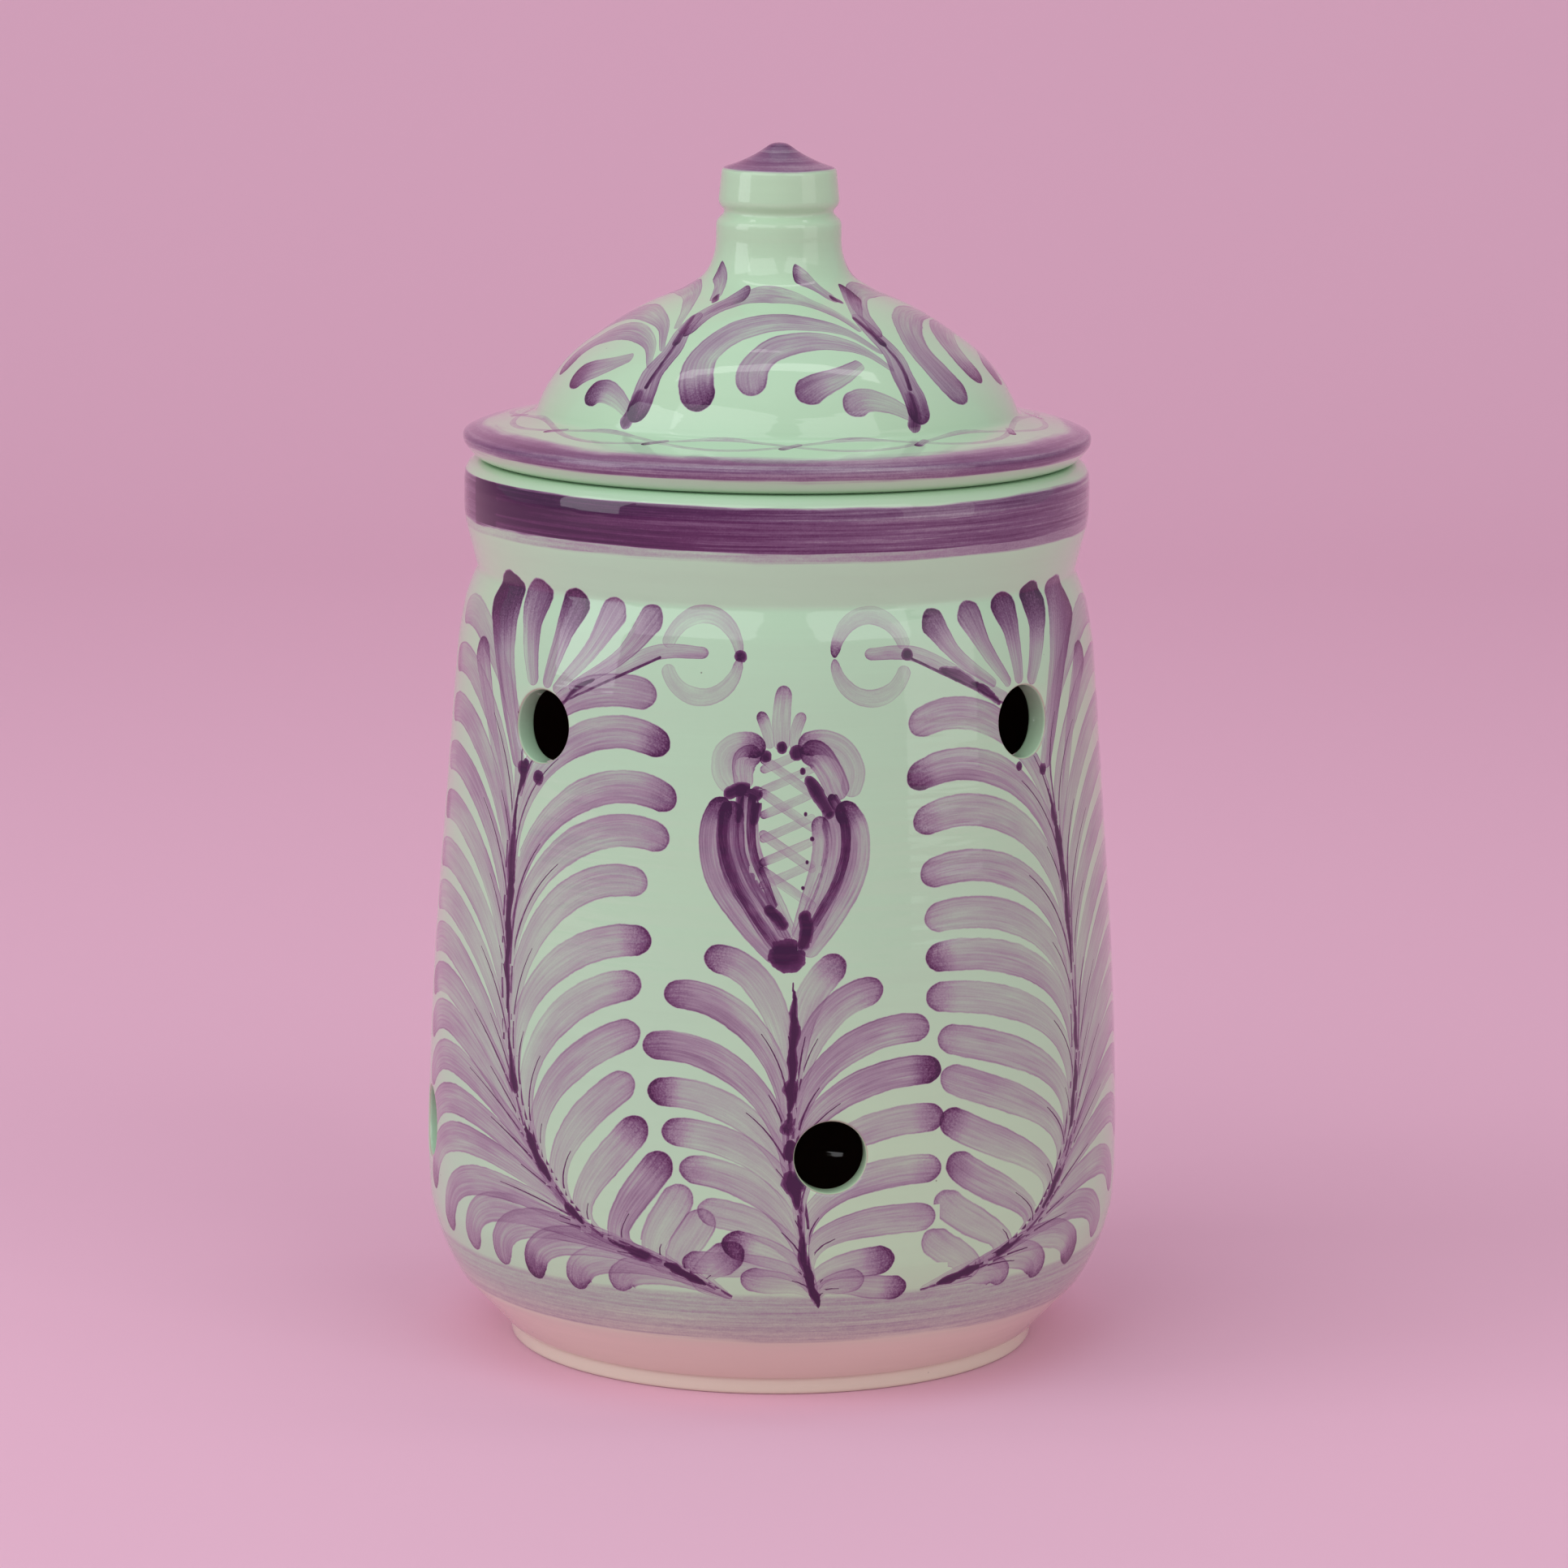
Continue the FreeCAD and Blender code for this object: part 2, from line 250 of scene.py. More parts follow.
def finishShell(name, shell, rowCount, poleHeights, around):
    poleIds = [len(shell["points"]), len(shell["points"]) + 1]
    points = np.vstack([shell["points"], [(0, 0, height) for height in poleHeights]])
    plane = np.vstack([shell["plane"], [(0, -500), (0, -500)]])
    last = (rowCount - 1) * columns
    share = np.r_[shell["share"], shell["share"][0], shell["share"][last]]
    fans = [(poleIds[0], (c + 1) % columns, c) for c in range(columns)]
    fans += [(poleIds[1], last + c, last + (c + 1) % columns) for c in range(columns)]
    used = np.zeros(len(points), bool)
    used[shell["quads"].reshape(-1)] = True
    used[poleIds] = True
    renumber = np.cumsum(used) - 1
    quads = renumber[shell["quads"]]
    thing = addMesh(name, points[used] * mm, quads.tolist() + renumber[np.array(fans)].tolist())
    attribute = thing.data.attributes.new("outside", "FLOAT", "POINT")
    attribute.data.foreach_set("value", share[used].astype(np.float32))
    # unrolled corners of each face, kept together across the seam
    corners = plane[used][quads]
    corners[..., 0] -= np.round((corners[..., 0] - corners[:, :1, 0]) / around) * around
    return thing, corners, quads, shell["painted"]


def paintPiece(finished, strokes, period, material):
    thing, corners, quads, painted = finished
    layers = paint(corners[painted], strokes, period)
    mesh = thing.data
    starts = np.zeros(len(mesh.polygons), np.int32)
    vertices = np.zeros(len(mesh.loops), np.int32)
    mesh.polygons.foreach_get("loop_start", starts)
    mesh.loops.foreach_get("vertex_index", vertices)
    chosen = np.nonzero(painted)[0]
    for number, layer in enumerate(layers):
        values = np.tile(np.array(noStroke, np.float32), (len(vertices), 1))
        for corner in range(4):
            spot = starts[chosen] + corner
            match = (quads[chosen] == vertices[spot][:, None]).argmax(1)
            values[spot] = layer[np.arange(len(chosen)), match]
        attribute = mesh.attributes.new(f"paint{number}", "FLOAT_COLOR", "CORNER")
        attribute.data.foreach_set("color", values.reshape(-1))
    mesh.materials.append(material)


# Jar

jarSizes = {
    "rowStep": 1.5,         # height of one row of faces on the outside
    "innerStep": 4,         # and on the inside, away from the vents
    "cornerStep": 2.2,      # and round the inside's lowest corner, below cornerTop
    "cornerTop": 20,
    "underRadius": 44,      # the flat underside within this radius keeps one row in underEvery
    "underEvery": 6,
    "evenPasses": 60,       # how often the painted wall's outline is evened out
    "innerTop": 178.0,      # highest and lowest level rows inside
    "innerBottom": 10,
    "ventZone": 16,         # this near to a vent's height, the inside has the same rows as the outside
    "ventRadius": 7.1,
    "lip": 0.75,            # rounding of a vent's two edges
    "holeCells": 6,         # cells that are cut out to each side of a vent's middle
    "blendCells": 9,        # cells beyond, over which round rows turn back into level ones
    "ringStep": 1.16,       # distance between the round rows
    "vents": [(-44.6, 132.8), (48.9, 133.9), (9.5, 52.1), (-80.5, 45.6)],   # each with a twin at the back
    "unroll": 1.2,          # painted strip in millimetres per degree
}
unroll = jarSizes["unroll"]

jarOutside = [(0, 3.6, 0), (46, 3.6, 0.8), (46, 0, 0.9), (53.5, 0, 0.9), (53.5, 3.6, 0.5),
              (54.4, 3.6, 0.8), (63.9, 13.6, 3.0), *arcPoints((63.9, 13.6), (70.6, 36.5), 42.4, 12),
              (70.35, 48, 0), (70.0, 62, 0), (69.45, 73, 0), (68.9, 84, 0), (67.0, 108, 0),
              (65.2, 132, 0), (64.25, 144, 0), *arcPoints((64.25, 144), (60.3, 158.4), 40, 8)[:-1],
              (60.3, 158.4, 3.2), (63.0, 169, 3.0), (63.0, 180.5, 4.6), (54, 180.5, 1.3)]
jarInside = [(54, 179.4), (54, 158.4), (59.55, 144), (64.2, 84), (65.9, 36.5), (64.6, 26), (59.2, 17),
             (54.5, 11.4), (48, 8.6), (0, 8.6)]


def fromVent(height):
    return min(abs(height - vent[1]) for vent in jarSizes["vents"])


def makeJarRows():
    outer = divide(soften(jarOutside), jarSizes["rowStep"])[1:]
    under = (outer[:, 0] < jarSizes["underRadius"]) & (outer[:, 1] < 4)
    outer = outer[~under | (np.arange(len(outer)) % jarSizes["underEvery"] == 0)]
    radius, height = outer[:, 0].copy(), outer[:, 1].copy()
    wall = (height > 30) & (height < 152) & (radius > 55)
    for _ in range(jarSizes["evenPasses"]):
        radius[1:-1] = np.where(wall[1:-1], (radius[:-2] + 2 * radius[1:-1] + radius[2:]) / 4, radius[1:-1])
    first, last = np.nonzero(wall)[0][[0, -1]]
    even = np.linspace(height[first], height[last], last - first + 1)
    radius[first:last + 1] = np.interp(even, height[first:last + 1], radius[first:last + 1])
    height[first:last + 1] = even
    shared = [row for row in range(last, first - 1, -1) if fromVent(height[row]) < jarSizes["ventZone"]]
    heights, partners = [], []
    z = jarSizes["innerTop"]
    while z > jarSizes["innerBottom"]:
        group = []
        if fromVent(z) < jarSizes["ventZone"]:
            for row in shared:
                if height[row] >= z + 0.3 or row in partners:
                    continue
                if group and group[-1] - row > 1:
                    break
                group.append(row)
        if group:
            heights += [height[row] for row in group]
            partners += group
            z = height[group[-1]] - 3
        else:
            heights.append(z)
            partners.append(-1)
            z -= jarSizes["innerStep"] if z > jarSizes["cornerTop"] else jarSizes["cornerStep"]
    inside = np.array(jarInside[:-1], float)
    heights = np.array(heights)
    inner = np.c_[np.interp(-heights, -inside[:, 1], inside[:, 0]), heights]
    mouth = [(54.0, 179.3)]
    floor = [(r, jarInside[-1][1]) for r in (47, 40, 30, 20, 10)]
    rows = np.vstack([np.c_[radius, height], mouth, inner, floor])
    innerStart = len(radius) + len(mouth)
    matching = {int(row): innerStart + k for k, row in enumerate(partners) if row >= 0}
    return rows, len(radius), matching


def ringAngle(i, j, m):
    # angle of cell (i, j) when the square ring of cells m away from the middle is laid round
    quarter = math.pi / 4
    angle = np.where(i == m, quarter * j / m, 0.0)
    angle = np.where((i != m) & (j == m), math.pi / 2 - quarter * i / m, angle)
    angle = np.where((i == -m) & (j != m), math.pi - quarter * j / m, angle)
    return np.where((j == -m) & (i != m) & (i != -m), 3 * math.pi / 2 + quarter * i / m, angle)


def squareRing(m):
    ring = [(m, j) for j in range(-m, m)] + [(i, m) for i in range(m, -m, -1)]
    return ring + [(-m, j) for j in range(m, -m, -1)] + [(i, -m) for i in range(-m, m)]


def ventPlaces(outer):
    # every vent with the cell nearest to its middle
    places = []
    for angle, height in jarSizes["vents"]:
        row = min(range(len(outer)), key=lambda k: abs(outer[k, 1] - height) + (outer[k, 0] < 56) * 99)
        for turn in (0, 180):
            turned = (angle + turn + 180) % 360 - 180
            places.append({"angle": turned, "height": height, "row": row, "column": round(turned) + 180})
    return places


def layRound(grid, vent, rows, matching, walls):
    # moves the cells about a vent onto circles, on the outside and on the inside
    hole, blend = jarSizes["holeCells"], jarSizes["blendCells"]
    cells = np.arange(-hole - blend, hole + blend + 1)
    i, j = np.meshgrid(cells, cells)
    m = np.maximum(np.abs(i), np.abs(j))
    turn = ringAngle(i, j, np.maximum(m, 1))
    spread = jarSizes["ventRadius"] + jarSizes["lip"] + (m - hole) * jarSizes["ringStep"]
    level = smoothstep((m - hole) / blend)
    columnIds = (vent["column"] + i) % columns
    outerIds = vent["row"] + j
    innerIds = np.vectorize(lambda row: matching.get(int(row), -1))(outerIds)
    roundHeight = vent["height"] + spread * np.sin(turn)
    for wall, rowIds in zip(walls, (outerIds, innerIds)):
        use = (m >= hole) & (rowIds >= 0)
        wallRadius = np.interp(roundHeight, wall[:, 1], wall[:, 0])
        roundAngle = vent["angle"] + np.degrees(np.arcsin(np.clip(spread * np.cos(turn) / wallRadius, -1, 1)))
        angle = roundAngle * (1 - level) + (vent["column"] - 180 + i) * level
        height = roundHeight * (1 - level) + rows[np.maximum(rowIds, 0), 1] * level
        spot = rowIds[use], columnIds[use]
        grid["angle"][spot] = angle[use]
        grid["height"][spot] = height[use]
        grid["radius"][spot] = np.interp(height[use], wall[:, 1], wall[:, 0])


def cutCells(keep, vent, matching):
    hole = jarSizes["holeCells"]
    for j in range(-hole, hole):
        row = vent["row"] + j
        for i in range(-hole, hole):
            keep[[row, min(matching[row], matching[row + 1])], (vent["column"] + i) % columns] = False


def makeVentWall(vent, matching, walls, start):
    # rings of points from the outer edge of the cut cells through the wall to the inner edge
    radius, lip = jarSizes["ventRadius"], jarSizes["lip"]
    cells = squareRing(jarSizes["holeCells"])
    size = len(cells)
    i, j = np.array(cells).T
    turn = ringAngle(i, j, np.full(size, jarSizes["holeCells"]))
    heading = np.radians(vent["angle"])
    outwards = np.array([math.sin(heading), -math.cos(heading), 0])
    sideways = np.array([math.cos(heading), math.sin(heading), 0])
    bends = np.radians([22.5, 45, 67.5, 90])
    edge = [(radius + lip * (1 - math.sin(bend)), lip * (1 - math.cos(bend))) for bend in bends]
    levels = [(spread, depth, "outer") for spread, depth in edge]
    levels += [(radius, 0, "middle")]
    levels += [(spread, depth, "inner") for spread, depth in edge[::-1]]
    points, plane, share = [], [], []
    for level, (spread, depth, side) in enumerate(levels):
        x, z = spread * np.cos(turn), vent["height"] + spread * np.sin(turn)
        outer, inner = (np.sqrt(np.interp(z, wall[:, 1], wall[:, 0]) ** 2 - x ** 2) for wall in walls)
        out = {"outer": outer - depth, "middle": (outer + inner) / 2, "inner": inner + depth}[side]
        ring = out[:, None] * outwards + x[:, None] * sideways
        ring[:, 2] = z
        points.append(ring)
        plane.append(np.c_[(vent["angle"] + np.degrees(np.arcsin(x / outer))) * unroll, z])
        share.append(np.full(size, max(0.0, 1 - 0.5 * level)))
    columnIds = (vent["column"] + i) % columns
    innerRows = np.array([matching[vent["row"] + cell[1]] for cell in cells])
    rings = [(vent["row"] + j) * columns + columnIds]
    rings += [start + level * size + np.arange(size) for level in range(len(levels))]
    rings += [innerRows * columns + columnIds]
    quads = [np.stack([near, np.roll(near, -1), np.roll(far, -1), far], -1)
             for near, far in zip(rings[:-1], rings[1:])]
    painted = [np.full(size, level < 2) for level in range(len(quads))]
    parts = {"points": points, "plane": plane, "share": share, "quads": quads, "painted": painted}
    return {key: np.concatenate(part) for key, part in parts.items()}


def makeJar():
    rows, outerCount, matching = makeJarRows()
    rowCount = len(rows)
    outer = rows[:outerCount]
    walls = outer[(outer[:, 1] > 14) & (outer[:, 1] < 168)], np.array(jarInside[:-1], float)[::-1]
    grid = {"angle": np.tile(np.arange(columns, dtype=float) - 180, (rowCount, 1)),
            "radius": np.tile(rows[:, :1], (1, columns)), "height": np.tile(rows[:, 1:], (1, columns))}
    keep = np.ones((rowCount - 1, columns), bool)
    vents = ventPlaces(outer)
    for vent in vents:
        layRound(grid, vent, rows, matching, walls)
        cutCells(keep, vent, matching)
    turn, radius, height = np.radians(grid["angle"]), grid["radius"], grid["height"]
    quadRows, quads = gridQuads(keep)
    shell = {
        "points": np.stack([radius * np.sin(turn), -radius * np.cos(turn), height], -1).reshape(-1, 3),
        "plane": np.stack([grid["angle"] * unroll, height], -1).reshape(-1, 2),
        # 1 on the outside, 0 in the vents, -1 on the inside
        "share": np.repeat(np.where(np.arange(rowCount) < outerCount, 1.0, -1.0), columns),
        "quads": quads, "painted": quadRows < outerCount - 1,
    }
    for vent in vents:
        ventWall = makeVentWall(vent, matching, walls, len(shell["points"]))
        shell = {key: np.concatenate([part, ventWall[key]]) for key, part in shell.items()}
    return finishShell("keeper_jar", shell, rowCount, rows[[0, -1], 1], 360 * unroll)


# Painted design on the jar: places are degrees from the front and millimetres of height
# a tip: its place, the heading of the brush as it leaves, the height where it joins the stem, and strength
# a mark on a stem: its start and end in millimetres along the stem, and its share of the width
# a hair line: its shift, and the first and last of the stem's points that it follows
# a dot or dash: its place or line, and half width; a fan leaf: tip, middle, root, strength and half width
# a ring: its place, and the side that its stalk is on, 1 for left and -1 for right

jarPaint = {
    "left": {
        "stem": [(-6, 23.5), (-16, 29.5), (-31, 36), (-42, 50), (-46.5, 61), (-49, 78), (-50, 99),
                 (-49.5, 118), (-47.5, 126)],
        "stemSteps": 80,
        "leaves": [
            {"width": 3.1, "tail": 6, "tips": [
                (-80, 150, 24, 118, 0.26), (-81, 140, 26, 109, 0.3), (-81, 130, 25, 100, 0.34),
                (-82, 120, 24, 91, 0.36), (-82, 110, 24, 82, 0.3), (-83, 100, 24, 74, 0.26),
                (-83, 91, 26, 66, 0.27), (-83, 82, 30, 59, 0.3), (-82, 73, 38, 53, 0.3),
                (-81, 64, 50, 48, 0.34), (-79.5, 54, 62, 44, 0.38), (-78, 43, 76, 40, 0.38),
                (-76, 33, 88, 37, 0.36), (-67.5, 26.5, 98, 34.5, 0.36), (-58.5, 25, 100, 32, 0.34),
                (-50, 24, 102, 30, 0.36), (-42, 23, 104, 28, 0.34), (-33, 22.5, 106, 26.3, 0.3),
                (-25, 23.5, 100, 24.8, 0.26)]},
            {"width": 3.25, "tail": 8, "tips": [
                (-21, 141, 168, 131, 0.36), (-18.5, 131, 146, 107, 0.36), (-17, 120.5, 146, 93, 0.36),
                (-18, 113, 154, 82, 0.3), (-21.5, 104.5, 166, 69, 0.26), (-20.5, 93.5, 174, 60, 0.27),
                (-22, 85, 182, 50, 0.26), (-22, 76, 196, 44, 0.32), (-23, 66.5, 214, 38, 0.3),
                (-21, 58.5, 234, 34.5, 0.3), (-17, 52, 240, 32, 0.42), (-14, 46, 254, 30, 0.24),
                (-10.5, 41.5, 262, 28, 0.25), (-5.5, 35, 256, 26, 0.24)]},
        ],
        "markWidth": 1.25,
        "marks": [(6, 15, 0.9), (18, 27, 1.0), (33, 39, 0.9), (44, 56, 1.0), (63, 76, 0.9), (79, 92, 0.8),
                  (90, 107, 1.05), (104, 123, 1.2), (122, 131, 1.0)],
        "hairLines": [(0.2, 3, -3), (1.9, 10, 44), (-1.7, 40, 72)],
    },
    "right": {
        "stem": [(25, 24), (36, 27.5), (47, 33.5), (55.5, 45), (60, 63.5), (59.5, 85), (57.5, 108),
                 (54.5, 122)],
        "stemSteps": 80,
        "leaves": [
            {"width": 3.1, "tail": 6, "tips": [
                (87, 150, 156, 119, 0.26), (88, 140, 155, 109, 0.3), (88, 130, 155, 99, 0.3),
                (89, 120, 156, 90, 0.3), (89, 110, 156, 81, 0.3), (89, 100, 156, 72, 0.3),
                (89, 91, 155, 64, 0.3), (89, 82, 150, 57, 0.34), (89, 73, 143, 51, 0.3),
                (88, 64, 132, 46, 0.33), (87, 54, 120, 41, 0.36), (84, 43, 106, 36.5, 0.34),
                (78, 33, 96, 33, 0.33), (70, 25.5, 90, 30.5, 0.33), (60, 22.5, 84, 28.5, 0.3),
                (50, 22, 80, 27, 0.28), (41, 22.5, 78, 25.5, 0.26)]},
            {"width": 3.2, "tail": 8, "tips": [
                (24, 135, 30, 112, 0.34), (23.5, 124.5, 32, 100, 0.36), (24.5, 116, 28, 90, 0.28),
                (25.5, 106, 20, 80, 0.32), (26, 97.5, 14, 70, 0.26), (26, 90, 8, 62, 0.28),
                (26, 82.5, 0, 54, 0.25), (28, 74.5, -12, 47, 0.3), (28.5, 67, -24, 41, 0.31),
                (28.5, 59, -38, 36, 0.27), (30, 50.5, -52, 32, 0.33), (28, 43.5, -66, 29, 0.24),
                (26, 36, -70, 26.5, 0.24)]},
        ],
        "markWidth": 1.15,
        "marks": [(4, 14, 1.1), (18, 26, 0.8), (33, 42, 0.8), (50, 64, 0.8), (66, 78, 0.8), (82, 98, 0.9),
                  (97, 113, 1.1), (112, 120, 0.9)],
        "hairLines": [(0.2, 3, -3), (-1.7, 12, 50)],
    },
    "centre": {
        "stem": [(8, 21.5), (5.5, 31), (4.5, 40.5), (3, 50), (3, 63), (3.5, 77), (3.5, 88.5)],
        "stemSteps": 60,
        "leaves": [
            {"width": 3.0, "tail": 6, "tips": [
                (-11, 91, 8, 65, 0.27), (-17.5, 83.5, 12, 59, 0.4), (-21, 73, 14, 51, 0.42),
                (-20, 64, 12, 44, 0.27), (-17.5, 56.5, 6, 37, 0.26), (-14.5, 49.5, 2, 31, 0.27),
                (-11.5, 41.5, -6, 27, 0.25), (-7.5, 35.5, -16, 24, 0.24)]},
            {"width": 3.0, "tail": 6, "tips": [
                (11.5, 91, 214, 68, 0.27), (18, 85, 182, 61, 0.36), (26, 76.5, 168, 54, 0.4),
                (28, 68, 168, 47, 0.42), (28.5, 58.5, 170, 40, 0.3), (28, 48.5, 172, 33, 0.33),
                (27, 39, 176, 28, 0.3), (20, 31.5, 190, 24, 0.26)]},
            {"width": 2.6, "tail": 4, "tips": [
                (-14, 31, -10, 22.8, 0.25), (-4.5, 28.6, -30, 22.4, 0.24)]},
            {"width": 2.6, "tail": 4, "tips": [
                (15, 28, 205, 23, 0.26), (22.5, 25.2, 188, 22.4, 0.27)]},
        ],
        "markWidth": 1.3,
        "marks": [(0, 10, 0.8), (8, 20, 0.85), (21, 29, 1.5), (30.5, 35, 1.2), (36, 40.5, 1.3),
                  (40.5, 47, 1.3), (46, 60, 1.0), (58, 66, 0.7)],
        "hairLines": [(0.1, 2, -3), (1.5, 14, 40)],
    },
    "dots": [(-48.5, 124, 1.6), (-44.5, 122.8, 1.5), (47, 125.5, 0.9), (53.5, 124, 1.2), (4.2, 47, 1.8)],
    "dashes": [
        ([(30, 146.2), (34, 144.6), (38, 142.2)], 1.5),
        ([(36.5, 143), (40, 140.6), (43, 138.2)], 1.25),
        ([(-33, 143.5), (-36.5, 141.5), (-40, 137.5)], 0.7),
    ],
    "fans": [
        ((-66, 147), (-61, 136), (-50, 108), 0.34, 3.5),
        ((-60.5, 160.5), (-57.5, 149), (-49.5, 124), 0.46, 7.0),
        ((-50, 160.5), (-49, 149), (-47, 140.5), 0.42, 5.9),
        ((-39, 159.6), (-41.5, 149.5), (-44, 140.5), 0.42, 4.8),
        ((-29.8, 158.6), (-34, 149.5), (-42, 140), 0.38, 3.8),
        ((-21.8, 157.8), (-27, 149.5), (-38.5, 141), 0.38, 3.2),
        ((28.5, 157), (33, 149.5), (42, 142), 0.38, 3.2),
        ((37, 158), (40, 150), (45.5, 141.5), 0.4, 3.9),
        ((46.5, 159), (47.5, 150), (48, 141.5), 0.42, 4.8),
        ((56.5, 160), (54.5, 150), (51, 141), 0.42, 5.6),
        ((68, 159), (62.5, 149), (54, 124), 0.44, 6.8),
        ((72, 146), (66, 136), (57.5, 108), 0.34, 3.5),
    ],
    "rings": [(-12.8, 149.4, 1), (17.0, 149.2, -1)],
}


def onWall(points):
    return np.array(points, float) * (unroll, 1)


def along(line, distance):
    # the point at a distance along a line, and the way that the line goes there
    length = lengthAlong(line)
    point, ahead, behind = (np.array([np.interp(distance + step, length, line[:, k]) for k in (0, 1)])
                            for step in (0, 0.5, -0.5))
    way = ahead - behind
    return point, way / max(np.hypot(*way), 1e-9)


def plume(stem, leaves):
    width, items = leaves["width"], []
    length = lengthAlong(stem)
    for degrees, z, heading, joinHeight, strength in leaves["tips"]:
        tip = onWall([(degrees, z)])[0]
        joint = float(np.interp(joinHeight, stem[:, 1], length))
        root, way = along(stem, joint)
        side = np.sign(tip[0] - root[0]) if joinHeight > 45 else 0
        root = root + (side * width * 0.22, 0)
        gap = np.hypot(*(root - tip))
        line = bezier(tip, tip + direction(heading) * gap * 0.36, root + way * gap * 0.44, root)
        steps = [along(stem, max(joint - step, 0.3))[0] + (side * width * 0.18, 0)
                 for step in np.linspace(1.5, leaves["tail"], 5)]
        line = np.vstack([line, steps])
        line = line[np.r_[True, np.hypot(*np.diff(line, axis=0).T) > 0.05]]
        items.append(stroke(line, width, strength))
        # a dark hair line where the leaf runs into the stem
        number = len(items)
        tail = line[13 + number * 5 % 7:]
        edge = width * (0.3 + 0.1 * (number % 3)) * (1 if number % 2 else -1)
        way = np.gradient(tail, axis=0)
        way = np.c_[-way[:, 1], way[:, 0]] / np.hypot(*way.T)[:, None]
        drift = np.linspace(1, 0.15, len(tail))[:, None]
        items.append(stroke(tail + way * edge * drift, 0.26 + 0.05 * (number % 3), 0.63 + 0.03 * (number % 3),
                            [(0, 0.3), (0.5, 0.8), (1, 1)]))
    return items


def stemMarks(stem, places, width):
    # broken dark lines on a stem, in three shapes and strengths by turns
    shapes = [[(0, 0.35), (0.3, 0.9), (0.5, 0.6), (0.75, 1), (1, 0.3)],
              [(0, 0.8), (0.25, 1), (0.6, 0.5), (1, 0.15)],
              [(0, 0.3), (0.35, 0.55), (0.7, 1), (1, 0.65)]]
    strengths = (0.94, 0.8, 0.88)
    items = []
    for number, (start, end, scale) in enumerate(places):
        line = np.array([along(stem, distance)[0] for distance in np.linspace(start, end, 12)])
        line[:, 0] += 0.2 * np.sin(np.arange(12) * 0.9 + number * 2.1)
        items.append(stroke(line, width * scale, strengths[number % 3], shapes[number % 3]))
    return items


def jarDesign():
    plumes = [jarPaint[name] for name in ("left", "right", "centre")]
    stems = [throughPoints(onWall(parts["stem"]), parts["stemSteps"]) for parts in plumes]
    items = []
    for parts, stem in zip(plumes, stems):
        for leaves in parts["leaves"]:
            items += plume(stem, leaves)
    for *points, strength, width in jarPaint["fans"]:
        items.append(stroke(throughPoints(onWall(points), 24), width, strength, fanShape))
    items += rings()
    items += fruit()
    for parts, stem in zip(plumes, stems):
        items += stemMarks(stem, parts["marks"], parts["markWidth"])
    for degrees, z, width in jarPaint["dots"]:
        spot = onWall([(degrees, z)])[0]
        items.append(stroke([spot - (width, 0.3), spot, spot + (width, -0.3)], width, 0.88, evenShape))
    for line, width in jarPaint["dashes"]:
        items.append(stroke(throughPoints(onWall(line), 12), width, 0.74, dashShape))
    for parts, stem in zip(plumes, stems):
        for shift, first, last in parts["hairLines"]:
            items.append(stroke(stem[first:last] + (shift, 0), 0.34, 0.68, evenShape))
    return items


def rings():
    # two curls, each with a dot and a stalk that runs to the vent beside it
    items = []
    for degrees, z, turn in jarPaint["rings"]:
        middle = onWall([(degrees, z)])[0]
        for first, last in ((2, 171), (-2, -166)):
            angles = np.radians(np.linspace(first, last, 26))
            line = middle + 7.9 * np.c_[np.cos(angles) * turn, np.sin(angles)]
            items.append(stroke(line, 1.8, 0.22, [(0, 0.5), (0.25, 0.85), (0.6, 1), (1, 0.8)]))
        dot = middle + np.array([8.2, 0.2])
        items.append(stroke([dot - (1.3, 0), dot, dot + (1.3, 0)], 1.25, 0.9, evenShape))
        near = middle + np.array([1.2 * turn, 0.6])
        root = middle + np.array([-33.5 * turn, -10.5])
        line = throughPoints([near, middle + (-9 * turn, 0.4), middle + (-21 * turn, -4.6), root], 30)
        items.append(stroke(line, 1.5, 0.3, [(0, 0.75), (0.3, 1), (1, 0.8)]))
        edge = throughPoints([middle + (-9 * turn, -0.6), middle + (-20 * turn, -5.6), root - (0, 1.2)], 20)
        items.append(stroke(edge, 0.32, 0.66, evenShape))
    return items


